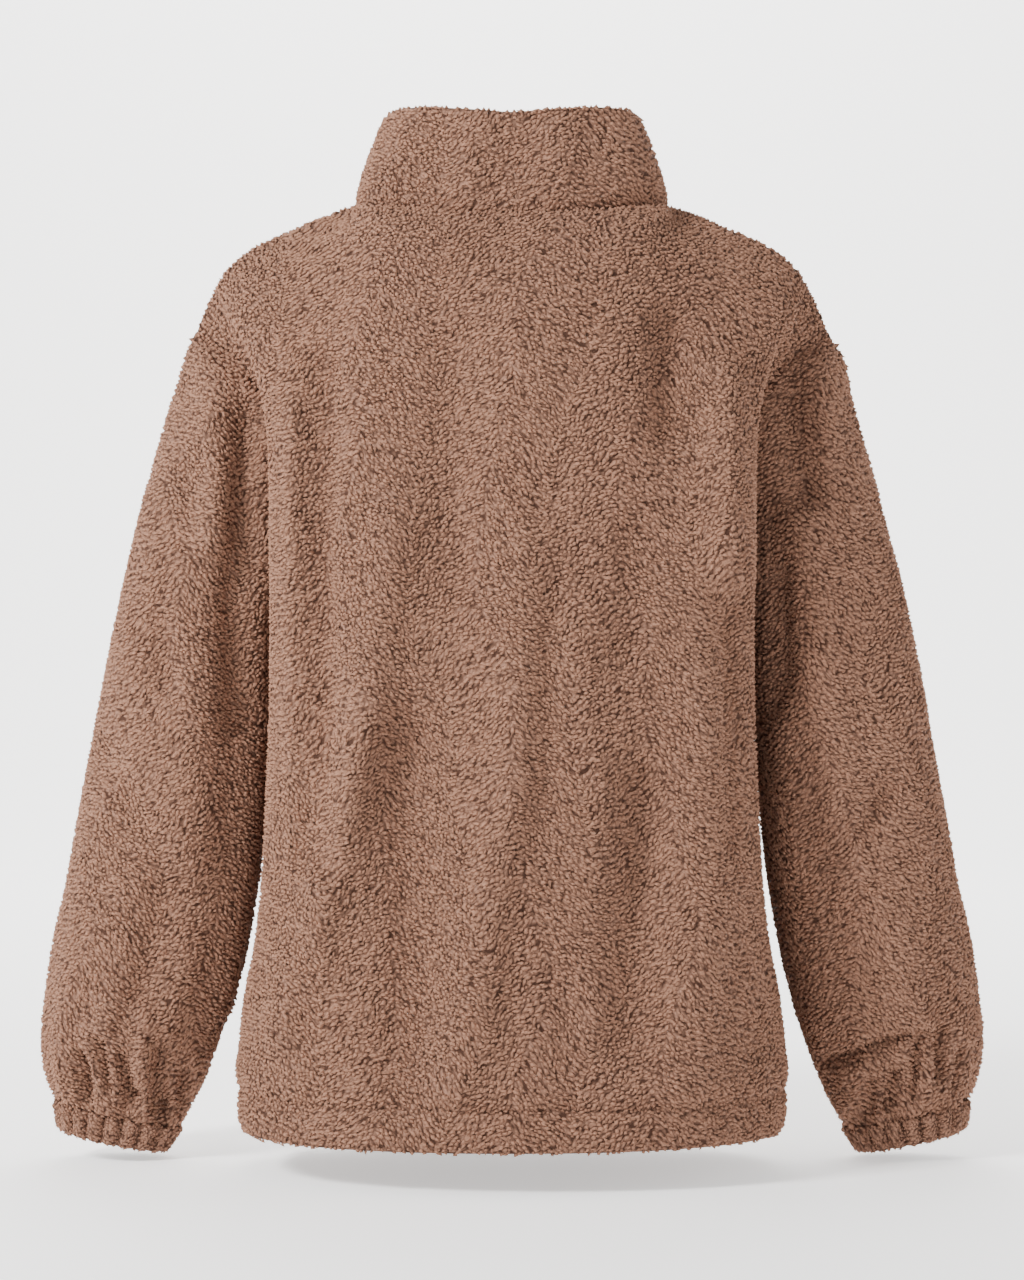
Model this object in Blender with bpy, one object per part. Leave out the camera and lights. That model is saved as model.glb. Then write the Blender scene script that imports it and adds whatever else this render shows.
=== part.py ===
"""A hollow teddy-fleece jacket: stand collar, drop shoulders, gathered cuffs and a front zip.

Millimetres inside, metres in the scene. +X is the wearer's left, -Y the front, +Z up.
The origin is the middle of the neck opening at the height of the shoulder points.
"""
import math

import bmesh
import bpy
import numpy as np
from mathutils import Matrix, Vector

MM = 0.001

# Walls and seams
PILE_WALL = 6.0           # knitted backing and pile together
COLLAR_WALL = 9.5         # two layers, turned at the top
CUFF_WALL = 5.0
SEAM_GAP = 0.3
SHARPEST_MITRE = 0.62     # least cosine that a mitred seam is stretched by
ARMHOLE_MITRE = 0.95      # the same at the armhole, whose crease is sharper

# Grids: columns in half a back or one front, and rows beside the armhole
PANEL_COLUMNS = 12
NECK_COLUMN = 6
ARMHOLE_ROWS = 18
FINE_STEPS = 160

# Body sections from the hem up. edge is the widest point, side the side seam.
BODY_COLUMNS = ("z", "edge_x", "edge_y", "side_x", "side_y", "back_y", "front_y")
BODY = (
    (-636, 187.0, 10, 186.0, -6, 130, -115),
    (-606, 188.0, 12, 186.5, -7, 131, -116),
    (-575, 186.7, 15, 183.5, -8, 130, -118),
    (-542, 182.5, 21, 177.0, -8, 128, -120),
    (-508, 175.5, 29, 169.5, -8, 126, -122),
    (-455, 169.4, 40, 162.0, -8, 124, -124),
    (-400, 166.1, 50, 157.0, -8, 123, -126),
    (-345, 163.6, 60, 154.0, -7, 122, -127),
    (-300, 163.0, 66, 153.5, -4, 122, -125),
    (-262, 162.7, 70, 156.0, 0, 122, -122),
)
UNDERARM_Z = BODY[-1][0]
BODY_ROWS = (-575, -542, -508, -468, -428, -388, -348, -312, -284)
BODY_ROUNDNESS = 0.9

# The hem: height above the edge, and how far the outer points stand out
HEM_Z = BODY[0][0]
HEM = ((0, -3.0), (4, -0.6), (14, 0.7), (24, 0.0), (28, -2.4), (32, 0.0))

# The shoulder seam from its tip to the neck, and the armhole's two halves from below to the tip
SHOULDER = (
    (221.0, 0, -91), (215.0, 0, -74), (208.0, 0, -57), (195.0, 0, -40), (183.5, 0, -30.5),
    (161.0, 0, -19.5), (136.6, 0, -9), (109.0, 0, 0),
)
ARMHOLE_BACK = (
    (156.0, 0, -262), (154.0, 18, -243), (152.5, 33, -206), (157.0, 39, -165),
    (172.0, 32, -129), (197.0, 18, -106), (221.0, 0, -91),
)
ARMHOLE_FRONT = (
    (156.0, 0, -262), (154.0, -19, -244), (153.0, -36, -208), (158.5, -43, -168),
    (174.0, -37, -130), (198.0, -20, -106), (221.0, 0, -91),
)

# The fold that each panel makes beside its armhole: share of the height, then its ridge
RIDGE_BACK = (
    (0.00, 162.7, 70, -262), (0.21, 162.2, 76, -205), (0.39, 163.2, 77, -157),
    (0.50, 166.4, 73, -130), (0.61, 171.7, 66, -103), (0.73, 179.0, 52, -76), (1.00, 181.0, 0, -29),
)
RIDGE_FRONT = (
    (0.00, 152.0, -62, -262), (0.25, 155.0, -72, -200), (0.50, 163.0, -70, -134),
    (0.73, 178.0, -48, -76), (1.00, 181.0, 0, -29),
)
RIDGE_SHARE = 0.26
RIDGE_FADE = 0.62

# Directions in which each column reaches the top edge: share of the width, then x, y, z
TOP_LEAN_BACK = (
    (0.00, 0.6, -0.60, 0.50), (0.25, 0, -0.92, 0.40), (0.50, 0, -0.95, 0.30), (1.00, 0, -0.75, 0.66),
)
TOP_LEAN_FRONT = (
    (0.00, 0.6, 0.60, 0.50), (0.25, 0, 0.92, 0.40), (0.50, 0, 0.95, 0.30), (1.00, 0, 0.35, 0.94),
)

# Evens out the bend below the neck point: rounds, share of each step, and where it fades out
SMOOTH_ROUNDS = 14
SMOOTH_STEPS = (0.50, -0.52)
SMOOTH_COLUMNS = (3, 6)
SMOOTH_TOP_ROWS = 4
SMOOTH_FOOT_ROWS = 5

# Neckline and collar: half width, back and front depth, and heights at back, side and front
NECK = {"half_width": 109.0, "back": 70.0, "front": -80.0, "back_z": -13.0, "front_z": -68.0}
COLLAR_TOP = {"half_width": 88.0, "back": 55.0, "front": -62.0}
COLLAR_TOP_Z = ((-1.0, -1.0), (-0.6, 25.0), (0.0, 58.0), (0.45, 61.5), (0.75, 58.5), (1.0, 55.5))
NECK_ROUNDNESS = 0.95
COLLAR_ROWS = (0.0, 0.33, 0.66, 0.93)
COLLAR_TURN = (45, 80)    # the rounded top, in degrees
COLLAR_SWELL = 2.0
FRONT_EDGE_X = 7.0        # each front stops here, beside the zip

# Soft folds across the body: ends, half width, and height of the ridge (a valley is below zero)
FOLD_COLUMNS = ("x0", "z0", "x1", "z1", "half_width", "height")
BACK_FOLDS = (
    (139, -112, 139, -440, 14, -3.2),
    (95, -300, 120, -390, 18, 2.6),
    (120, -390, 137, -560, 18, 3.2),
    (70, -380, 66, -540, 22, -2.8),
    (8, -210, 8, -370, 22, 2.2),
    (10, -370, 34, -580, 20, 3.0),
    (15, -120, 14, -190, 26, -2.0),
    (-97, -112, -100, -180, 22, -2.6),
    (-130, -125, -134, -260, 17, 2.4),
    (-95, -330, -72, -560, 20, -2.8),
    (-128, -330, -108, -590, 18, 2.8),
    (-40, -420, -48, -590, 18, 1.8),
)
FRONT_FOLDS = (
    (120, -250, 132, -420, 20, -2.6),
    (100, -330, 118, -570, 20, 2.8),
    (62, -380, 70, -560, 22, -2.6),
    (48, -150, 60, -330, 24, 2.0),
)

# Sleeve rings below the armhole: outer and inner edge, depth and middle
SLEEVE_COLUMNS = ("outer_x", "outer_z", "inner_x", "inner_z", "depth", "middle_y")
SLEEVE = (
    (221.0, -91, 156.0, -262, 84, 0),
    (233.0, -126, 158.8, -267, 97, 0),
    (243.0, -160, 161.0, -273, 103, 0),
    (252.3, -195, 162.5, -281, 107, 0),
    (261.0, -232, 163.8, -292, 109, -1),
    (269.5, -268, 164.5, -306, 110, -3),
    (277.8, -305, 165.3, -328, 110, -5),
    (286.0, -345, 167.0, -364, 110, -8),
    (294.7, -388, 170.0, -406, 110, -11),
    (303.0, -430, 174.5, -448, 110, -15),
    (311.0, -472, 181.0, -490, 109, -20),
    (321.0, -512, 188.5, -530, 108, -25),
    (326.6, -546, 197.0, -563, 106, -29),
    (330.3, -575, 206.0, -592, 102, -32),
    (329.6, -597, 214.5, -614, 94, -34),
    (326.0, -612, 222.5, -630, 80, -35),
    (321.3, -622.3, 230.0, -642, 62, -35),
)
ARMHOLE_PULL = (1.0, 0.55, 0.26, 0.09, 0.02)
GATHERS = 9
GATHER_DEPTH = (0.0, 1.2, 2.8, 4.4, 5.4, 5.0, 3.2)

# Cuffs: top and bottom outlines, and ribs all round
CUFF_TOP = SLEEVE[-1]
CUFF_BOTTOM = (318.2, -643.2, 241.0, -659.4, 54, -35)
CUFF_RIBS = 18
RIB_COLUMNS = 5
RIB_HEIGHT = 2.0
CUFF_ROWS = ((0.0, -1.6), (0.09, 0.0), (0.5, 0.6), (0.91, 0.0), (1.0, -1.6))

# Zip: a number 5 coil, tapes behind the fronts
CHAIN_HALF = 2.5
CHAIN_THICK = 2.6
TAPE_THICK = 0.9
TAPE_OUTER_X = 18.5
TAPE_INNER_X = CHAIN_HALF + SEAM_GAP
TAPE_SEAT = 0.45
TAPE_DEPTH = PILE_WALL + TAPE_SEAT
TAPE_WIDE_ROWS = 6        # rows below the neck where the tape narrows to what shows
ZIP_BOTTOM_ROW = 1
BOX_LENGTH = 9.0
BOX_EXTRA = 0.6
SLIDER = {"half_width": 4.4, "length": 11.0, "plate": 1.5, "clear": 0.35, "below_top": 3.0}
BRIDGE = {"half_width": 1.1, "length": 9.0, "thick": 1.1, "room": 2.3}
PULL = {"bar": 0.6, "eye": 1.7, "rail": 1.1, "eye_length": 5.0, "tab_half": 3.6, "tab_length": 20.0,
        "thick": 1.2}

PILE_COLOUR = (0.290, 0.165, 0.117, 1)
RIB_COLOUR = (0.262, 0.147, 0.102, 1)
TAPE_COLOUR = (0.180, 0.098, 0.068, 1)
METAL_COLOUR = (0.300, 0.255, 0.210, 1)


def unit(vectors):
    """Vectors of length one."""
    return vectors / np.linalg.norm(vectors, axis=-1, keepdims=True)


def named(columns, rows):
    """A table's columns by name."""
    values = np.array(rows, float)
    return {name: values[:, place] for place, name in enumerate(columns)}


def curve_through(keys, values, at):
    """A smooth curve through a table's rows, read at the given keys."""
    keys = np.asarray(keys, float)
    values = np.asarray(values, float)
    at = np.atleast_1d(np.asarray(at, float))
    steps = np.diff(keys)
    chords = np.diff(values, axis=0) / steps[:, None]
    weighed = steps[1:, None] * chords[:-1] + steps[:-1, None] * chords[1:]
    inner = weighed / (steps[1:] + steps[:-1])[:, None]
    slopes = np.vstack([chords[:1], inner, chords[-1:]])
    index = np.clip(np.searchsorted(keys, at, side="right") - 1, 0, len(steps) - 1)
    span = steps[index][:, None]
    t = (at - keys[index])[:, None] / span
    return hermite(values[index], slopes[index] * span, values[index + 1], slopes[index + 1] * span, t)


def hermite(start, start_slope, end, end_slope, t):
    """A cubic from start to end with a given slope at each."""
    return ((2 * t ** 3 - 3 * t ** 2 + 1) * start + (t ** 3 - 2 * t ** 2 + t) * start_slope
            + (3 * t ** 2 - 2 * t ** 3) * end + (t ** 3 - t ** 2) * end_slope)


def spread(points, shares):
    """Places at the given shares of a line's length."""
    lengths = np.concatenate([[0], np.cumsum(np.linalg.norm(np.diff(points, axis=0), axis=1))])
    at = np.asarray(shares) * lengths[-1]
    return np.stack([np.interp(at, lengths, points[:, axis]) for axis in range(3)], axis=1)


def smooth_line(points, shares):
    """Places at the given shares of a smooth line through a few points."""
    points = np.array(points, float)
    keys = np.concatenate([[0], np.cumsum(np.linalg.norm(np.diff(points, axis=0), axis=1))])
    return spread(curve_through(keys, points, np.linspace(0, keys[-1], FINE_STEPS)), shares)


def ease(t):
    """A smooth step from 0 to 1."""
    t = np.clip(t, 0, 1)
    return t * t * (3 - 2 * t)


def quarter(start, end, roundness):
    """A quarter of a rounded outline: from the side (start) to the middle (end), x then y."""
    angle = np.linspace(0, math.pi / 2, FINE_STEPS)
    x = start[0] * np.cos(angle).clip(0) ** roundness
    y = start[1] + (end[1] - start[1]) * np.sin(angle) ** roundness
    return x, y


def body_row(z, side):
    """Half of the body's section at one height, from the side seam to the middle."""
    table = named(BODY_COLUMNS, BODY)
    names = BODY_COLUMNS[1:]
    read = curve_through(table["z"], np.stack([table[name] for name in names], axis=1), z)[0]
    size = dict(zip(names, read))
    if side == "back":
        rise = np.linspace(0, 1, FINE_STEPS)
        side_x = size["side_x"] + (size["edge_x"] - size["side_x"]) * np.sin(rise * math.pi / 2)
        side_y = size["side_y"] + (size["edge_y"] - size["side_y"]) * rise
        arc_x, arc_y = quarter((size["edge_x"], size["edge_y"]), (0, size["back_y"]), BODY_ROUNDNESS)
        x = np.concatenate([side_x, arc_x[1:]])
        y = np.concatenate([side_y, arc_y[1:]])
    else:
        x, y = quarter((size["side_x"], size["side_y"]), (0, size["front_y"]), BODY_ROUNDNESS)
        keep = x >= FRONT_EDGE_X
        x, y = np.append(x[keep], FRONT_EDGE_X), np.append(y[keep], y[keep][-1])
    line = np.stack([x, y, np.full(len(x), float(z))], axis=1)
    return spread(line, np.linspace(0, 1, PANEL_COLUMNS + 1))


def neck_line(side):
    """The neckline from the shoulder point to the middle back or the front edge."""
    angle = np.linspace(0, math.pi / 2, FINE_STEPS)
    x = NECK["half_width"] * np.cos(angle).clip(0) ** NECK_ROUNDNESS
    y = NECK[side] * np.sin(angle) ** NECK_ROUNDNESS
    z = NECK[side + "_z"] * np.sin(angle) ** 1.7
    line = np.stack([x, y, z], axis=1)
    if side == "front":
        line = line[x >= FRONT_EDGE_X]
        line[-1, 0] = FRONT_EDGE_X
    return spread(line, np.linspace(0, 1, PANEL_COLUMNS - NECK_COLUMN + 1))


def panel(side):
    """The outer points of half a back or of one front: rows from the hem up, columns from the side seam."""
    shares = np.linspace(0, 1, PANEL_COLUMNS + 1)
    heights = [HEM_Z + height for height, relief in HEM] + list(BODY_ROWS)
    lower = [body_row(z, side) for z in heights]
    start = body_row(UNDERARM_Z, side)
    shoulder = smooth_line(SHOULDER, np.linspace(0, 1, NECK_COLUMN + 1))
    end = np.vstack([shoulder, neck_line(side)[1:]])
    reach = np.linalg.norm(end - start, axis=1, keepdims=True)
    lean = np.array(TOP_LEAN_BACK if side == "back" else TOP_LEAN_FRONT)
    arrive = unit(curve_through(lean[:, 0], lean[:, 1:], shares)) * reach
    leave = np.array([0, 0, 1.0]) * reach
    loop = smooth_line(ARMHOLE_BACK if side == "back" else ARMHOLE_FRONT, np.linspace(0, 1, ARMHOLE_ROWS + 1))
    ridge = np.array(RIDGE_BACK if side == "back" else RIDGE_FRONT)
    beside = 1 - ease(shares / RIDGE_SHARE)
    past = 1 - ease((shares - RIDGE_SHARE) / (RIDGE_FADE - RIDGE_SHARE))
    across = np.where(shares < RIDGE_SHARE, ease(shares / RIDGE_SHARE), past)
    upper = [start]
    for row in range(1, ARMHOLE_ROWS):
        rise = row / ARMHOLE_ROWS
        line = hermite(start, leave, end, arrive, rise)
        to_loop = loop[row] - line[0]
        to_ridge = curve_through(ridge[:, 0], ridge[:, 1:], rise) - curve_through(shares, line, RIDGE_SHARE)
        upper.append(line + beside[:, None] * to_loop + across[:, None] * to_ridge)
    return smooth_across(np.stack(lower + upper + [end]), len(lower))


def smooth_across(grid, first):
    """Takes the sharp bends between columns out of the rows above the underarm, with the edges left in place."""
    rows, columns = np.arange(len(grid)), np.arange(grid.shape[1])
    share = ease((columns - SMOOTH_COLUMNS[0]) / (SMOOTH_COLUMNS[1] - SMOOTH_COLUMNS[0]))[None, :]
    share = share * ease((rows - first) / SMOOTH_FOOT_ROWS)[:, None]
    share = share * ease((rows[-2] - rows) / SMOOTH_TOP_ROWS)[:, None]
    for step in SMOOTH_STEPS * SMOOTH_ROUNDS:
        beyond = mirrored(grid[:, -2:-1]) if abs(grid[0, -1, 0]) < SEAM_GAP else 2 * grid[:, -1:] - grid[:, -2:-1]
        after = np.concatenate([grid[:, 1:], beyond], axis=1)
        before = np.concatenate([grid[:, :1], grid[:, :-1]], axis=1)
        grid = grid + share[..., None] * step * ((before + after) / 2 - grid)
    return grid


def mirrored(points):
    """The same points on the other side of the body."""
    return points * np.array([-1.0, 1.0, 1.0])


def both_halves(half):
    """A whole panel from its left half, whose last column is the middle."""
    return np.concatenate([half, mirrored(half)[:, -2::-1]], axis=1)


def grid_normals(grid, inside, closed=False):
    """Outward normals of a grid of points, away from the given inside points."""
    if closed:
        across = (np.roll(grid, -1, axis=1) - np.roll(grid, 1, axis=1)) / 2
    else:
        across = np.gradient(grid, axis=1)
    normals = unit(np.cross(np.gradient(grid, axis=0), across))
    flip = np.sum(normals * (grid - inside), axis=2).mean() < 0
    return -normals if flip else normals


def mitre(sums, count, wall):
    """From the outer to the inner edge of a seam, given the sum of the normals that meet there."""
    length = np.linalg.norm(sums, axis=-1, keepdims=True)
    return -sums / length * wall / np.maximum(length / count, SHARPEST_MITRE)


def seam_aside(points, offsets, toward, closed=False):
    """Half the seam gap, square to the seam's rim and toward the piece."""
    if closed:
        along = np.roll(points, -1, axis=0) - np.roll(points, 1, axis=0)
    else:
        along = np.gradient(points, axis=0)
    aside = unit(np.cross(along, offsets))
    side = np.sign(np.sum(aside * toward, axis=1, keepdims=True))
    return aside * side * SEAM_GAP / 2


def sleeve_rings():
    """The sleeve's outer rings: each from its outer edge round the back, the underarm and the front."""
    half = ARMHOLE_ROWS
    table = named(SLEEVE_COLUMNS, SLEEVE)
    loop = np.vstack([
        smooth_line(ARMHOLE_BACK, np.linspace(0, 1, half + 1))[::-1],
        smooth_line(ARMHOLE_FRONT, np.linspace(0, 1, half + 1))[1:-1],
    ])
    rings = []
    for k in range(len(SLEEVE)):
        outer = np.array([table["outer_x"][k], table["middle_y"][k], table["outer_z"][k]])
        inner = np.array([table["inner_x"][k], table["middle_y"][k], table["inner_z"][k]])
        ring = ellipse_ring(outer, inner, table["depth"][k], 2 * half)
        pull = ARMHOLE_PULL[k] if k < len(ARMHOLE_PULL) else 0
        rings.append(ring * (1 - pull) + loop * pull)
    return np.stack(rings)


def ellipse_ring(outer, inner, depth, count):
    """An even ring of points from the outer edge round the back."""
    angle = np.linspace(0, 2 * math.pi, 4 * FINE_STEPS + 1)[:, None]
    line = (outer + inner) / 2 + (outer - inner) / 2 * np.cos(angle)
    line = line + np.array([0, depth / 2, 0]) * np.sin(angle)
    return spread(line, np.arange(count) / count)


def in_plane_normals(ring):
    """Outward normals of a flat ring, in its own plane."""
    along = np.roll(ring, -1, axis=0) - np.roll(ring, 1, axis=0)
    middle = ring.mean(axis=0)
    plane = unit(np.cross(ring[0] - middle, ring[len(ring) // 4] - middle))
    normals = unit(np.cross(along, plane))
    flip = np.sum(normals * (ring - middle)) < 0
    return -normals if flip else normals


def gather(rings, inner):
    """The gathers above the cuff, which move both faces of the wall."""
    columns = rings.shape[1]
    place = np.arange(columns)
    fold = np.floor((place + 2) * GATHERS / columns)
    uneven = 0.8 + 0.2 * np.sin(2.3 * fold + 0.6)
    valley = (1 - np.cos(2 * math.pi * GATHERS * place / columns)) / 2 * uneven
    first = len(rings) - len(GATHER_DEPTH)
    for k, depth in enumerate(GATHER_DEPTH):
        inward = -in_plane_normals(rings[first + k]) * (valley * depth)[:, None]
        rings[first + k] += inward
        inner[first + k] += inward


def fold_field(points, folds):
    """Height of the soft folds at each point."""
    height = np.zeros(points.shape[:2])
    for row in folds:
        fold = dict(zip(FOLD_COLUMNS, row))
        start = np.array([fold["x0"], fold["z0"]])
        run = np.array([fold["x1"], fold["z1"]]) - start
        flat = points[:, :, [0, 2]] - start
        share = np.clip(np.sum(flat * run, axis=2) / np.sum(run * run), 0, 1)
        away = np.linalg.norm(flat - share[..., None] * run, axis=2)
        height += fold["height"] * np.exp(-(away / fold["half_width"]) ** 2)
    return height


def fold_panel(outer, inner, normals, folds):
    """Moves both faces of a panel by its folds, with the seams left in place."""
    rows, columns = outer.shape[:2]
    up = np.minimum(np.arange(rows), rows - 1 - np.arange(rows)) / 3
    across = np.minimum(np.arange(columns), columns - 1 - np.arange(columns)) / 2
    edge = ease(up)[:, None] * ease(across)[None, :]
    move = normals * (fold_field(outer, folds) * edge)[..., None]
    return outer + move, inner + move


def raise_hem(outer, normals):
    """The turned hem's rounded edge and its stitched groove, in the outer points only."""
    raised = outer.copy()
    for row, (height, relief) in enumerate(HEM):
        raised[row] += normals[row] * relief
    return raised


def material(name, colour, roughness, metallic=0.0):
    """A plain material with the piece's colour."""
    made = bpy.data.materials.new(name)
    made.use_nodes = True
    shader = made.node_tree.nodes["Principled BSDF"]
    shader.inputs["Base Color"].default_value = colour
    shader.inputs["Roughness"].default_value = roughness
    shader.inputs["Metallic"].default_value = metallic
    made.diffuse_color = colour
    return made


def add_object(name, points, faces, finish, smooth_angle=40):
    """A named object from points in millimetres."""
    mesh = bpy.data.meshes.new(name)
    mesh.from_pydata([tuple(point * MM) for point in points], [], faces)
    shape = bmesh.new()
    shape.from_mesh(mesh)
    bmesh.ops.recalc_face_normals(shape, faces=shape.faces)
    shape.to_mesh(mesh)
    shape.free()
    mesh.shade_smooth()
    mesh.set_sharp_from_angle(angle=math.radians(smooth_angle))
    mesh.materials.append(finish)
    made = bpy.data.objects.new(name, mesh)
    bpy.context.collection.objects.link(made)
    return made


def wall(name, outer, inner, finish, closed=False):
    """A closed wall between two grids of points. Rims are split the same way on both sides of a seam."""
    rows, columns = outer.shape[:2]
    points = np.vstack([outer.reshape(-1, 3), inner.reshape(-1, 3)])
    out = np.arange(rows * columns).reshape(rows, columns)
    into = out + rows * columns
    if closed:
        out = np.hstack([out, out[:, :1]])
        into = np.hstack([into, into[:, :1]])
    faces = []
    for sheet, turn in ((out, 1), (into, -1)):
        for row in range(rows - 1):
            for column in range(sheet.shape[1] - 1):
                quad = [sheet[row, column], sheet[row, column + 1],
                        sheet[row + 1, column + 1], sheet[row + 1, column]]
                faces.append(quad[::turn])
    edges = [(out[0], into[0]), (out[-1], into[-1])]
    if not closed:
        edges += [(out[:, 0], into[:, 0]), (out[:, -1], into[:, -1])]
    for outer_edge, inner_edge in edges:
        for a, b, c, d in zip(outer_edge, outer_edge[1:], inner_edge, inner_edge[1:]):
            if points[a][2] <= points[b][2]:
                faces += [[a, b, d], [a, d, c]]
            else:
                faces += [[a, b, c], [b, d, c]]
    return add_object(name, points, [[int(i) for i in face] for face in faces], finish)


def top_of_collar(side):
    """The collar's upper outline, spaced like the neckline below it."""
    angle = np.linspace(0, math.pi / 2, FINE_STEPS)
    x = COLLAR_TOP["half_width"] * np.cos(angle).clip(0) ** NECK_ROUNDNESS
    y = COLLAR_TOP[side] * np.sin(angle) ** NECK_ROUNDNESS
    table = np.array(COLLAR_TOP_Z)
    turn = angle / (math.pi / 2) * (1 if side == "back" else -1)
    z = curve_through(table[:, 0], table[:, 1:], turn)[:, 0]
    line = np.stack([x, y, z], axis=1)
    if side == "front":
        line = line[x >= FRONT_EDGE_X]
        line[-1, 0] = FRONT_EDGE_X
    return spread(line, np.linspace(0, 1, PANEL_COLUMNS - NECK_COLUMN + 1))


def collar_frame(back, front):
    """Left half of the collar from its front edge to the middle back: base, top and outward normals."""
    base = np.vstack([front[-1, :NECK_COLUMN - 1:-1], back[-1, NECK_COLUMN + 1:]])
    top = np.vstack([top_of_collar("front")[::-1], top_of_collar("back")[1:]])
    whole = both_halves(np.stack([base, top]))
    normals = unit(np.cross(np.gradient(whole[0], axis=0), unit(whole[1] - whole[0])))
    if np.sum(normals * whole[0]) < 0:
        normals = -normals
    normals = normals[:len(base)]
    normals[0, 0] = 0
    normals[-1, 0] = 0
    return base, top, unit(normals)


class Jacket:
    """The jacket's left half: outer points, the offsets to the inner points, and the seams' gaps."""

    def __init__(self):
        self.back, self.front = panel("back"), panel("front")
        self.rings = sleeve_rings()
        self.underarm = len(HEM) + len(BODY_ROWS)
        self.neck_base, self.neck_top, self.collar_normals = collar_frame(self.back, self.front)
        whole = both_halves(self.back)
        middle = np.array([0.0, 0.0, -300.0])
        self.back_normals = grid_normals(whole, middle)[:, :PANEL_COLUMNS + 1]
        self.front_normals = grid_normals(self.front, middle)
        self.front_normals[:, -1, 0] = 0
        arm_middle = self.rings.mean(axis=1, keepdims=True)
        self.ring_normals = grid_normals(self.rings, arm_middle, closed=True)
        self.ring_normals[-1] = in_plane_normals(self.rings[-1])
        self.back_offsets = -self.back_normals * PILE_WALL
        self.front_offsets = -self.front_normals * PILE_WALL
        self.ring_offsets = -self.ring_normals * PILE_WALL
        self.back_gap = np.zeros_like(self.back)
        self.front_gap = np.zeros_like(self.front)
        self.ring_gap = np.zeros_like(self.rings)
        self.collar_offset = -self.collar_normals * COLLAR_WALL
        self.collar_gap = np.zeros_like(self.neck_base)
        self.join_sides()
        self.join_shoulders()
        self.join_collar()
        self.join_armhole()

    def join_sides(self):
        """The side seam, from the hem to the underarm."""
        rows = slice(0, self.underarm)
        offsets = mitre(self.back_normals[rows, 0] + self.front_normals[rows, 0], 2, PILE_WALL)
        self.back_offsets[rows, 0] = offsets
        self.front_offsets[rows, 0] = offsets
        rows = slice(0, self.underarm + 1)
        backward = np.array([0, SEAM_GAP / 2, 0])
        self.back_gap[rows, 0] += backward
        self.front_gap[rows, 0] -= backward

    def join_shoulders(self):
        """The shoulder seam, from the sleeve to the neck."""
        columns = slice(0, NECK_COLUMN + 1)
        offsets = mitre(self.back_normals[-1, columns] + self.front_normals[-1, columns], 2, PILE_WALL)
        self.back_offsets[-1, columns] = offsets
        self.front_offsets[-1, columns] = offsets
        backward = np.array([0, SEAM_GAP / 2, 0])
        self.back_gap[-1, columns] += backward
        self.front_gap[-1, columns] -= backward

    def join_collar(self):
        """The neck seam. The collar is thicker than the body, so its rim runs on past the body's."""
        turn = PANEL_COLUMNS - NECK_COLUMN
        front = self.front_normals[-1, :NECK_COLUMN:-1]
        back = self.back_normals[-1, NECK_COLUMN + 1:]
        shoulder = unit(self.back_normals[-1, NECK_COLUMN] + self.front_normals[-1, NECK_COLUMN])[None]
        sums = np.vstack([front, shoulder, back]) + self.collar_normals
        sums[[0, -1], 0] = 0
        body = mitre(sums, 2, PILE_WALL)
        self.collar_offset = body * COLLAR_WALL / PILE_WALL
        self.front_offsets[-1, :NECK_COLUMN - 1:-1] = body[:turn + 1]
        self.back_offsets[-1, NECK_COLUMN:] = body[turn:]
        rise = self.neck_top - self.neck_base
        whole = both_halves(np.stack([self.neck_base, body, rise]))
        gap = seam_aside(whole[0], whole[1], whole[2])[:len(body)]
        gap[-1, 0] = 0
        self.collar_gap = gap
        self.front_gap[-1, :NECK_COLUMN - 1:-1] -= gap[:turn + 1]
        self.back_gap[-1, NECK_COLUMN:] -= gap[turn:]

    def join_armhole(self):
        """The armhole, where panel and sleeve meet in a crease that turns back on itself under the arm."""
        half = ARMHOLE_ROWS
        sides = (
            (self.back, self.back_normals, self.back_offsets, self.back_gap, np.arange(half, -1, -1)),
            (self.front, self.front_normals, self.front_offsets, self.front_gap,
             np.arange(half, 2 * half + 1) % (2 * half)),
        )
        rows = slice(self.underarm, None)
        ring, step = self.rings[0], self.rings[1] - self.rings[0]
        along = unit(np.roll(ring, -1, axis=0) - np.roll(ring, 1, axis=0))
        sleeve_normals = unit(self.ring_normals[0])
        sleeve_way = way_in(sleeve_normals, along, step)
        sums, toward = np.zeros_like(ring), np.zeros_like(ring)
        cosines, counts = np.zeros((2 * half, 1)), np.zeros((2 * half, 1))
        for outer, normals, offsets, gap, place in sides:
            panel_way = way_in(normals[rows, 0], along[place], outer.mean(axis=(0, 1)) - outer[rows, 0])
            pair = normals[rows, 0] + sleeve_normals[place]
            crease = panel_way + sleeve_way[place]
            hollow = np.where(np.sum(crease * pair, axis=1, keepdims=True) < 0, -1, 1)
            sums[place] += pair + crease * hollow
            cosines[place] += np.linalg.norm(pair, axis=1, keepdims=True) / 2
            counts[place] += 1
            toward[place] += outer[rows, 1] + offsets[rows, 1] / 2 - outer[rows, 0]
        toward -= (step + self.ring_offsets[1] / 2) * counts
        reach = PILE_WALL / np.maximum(cosines / counts, ARMHOLE_MITRE)
        self.ring_offsets[0] = -unit(sums) * reach
        aside = seam_aside(ring, self.ring_offsets[0], toward, closed=True)
        self.ring_gap[0] = -aside
        for outer, normals, offsets, gap, place in sides:
            offsets[rows, 0] = self.ring_offsets[0][place]
            gap[rows, 0] += aside[place]

    def zip_line(self):
        """The front edge's line from hem to collar top, and its inward direction."""
        rise = self.neck_top[0] - self.neck_base[0]
        collar = [self.neck_base[0] + rise * share for share in COLLAR_ROWS[1:]]
        line = np.vstack([self.front[:, -1], collar])
        inward = np.vstack([-self.front_normals[:, -1], [-self.collar_normals[0]] * len(collar)])
        line[:, 0] = 0
        inward[:, 0] = 0
        return line, unit(inward)


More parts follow.
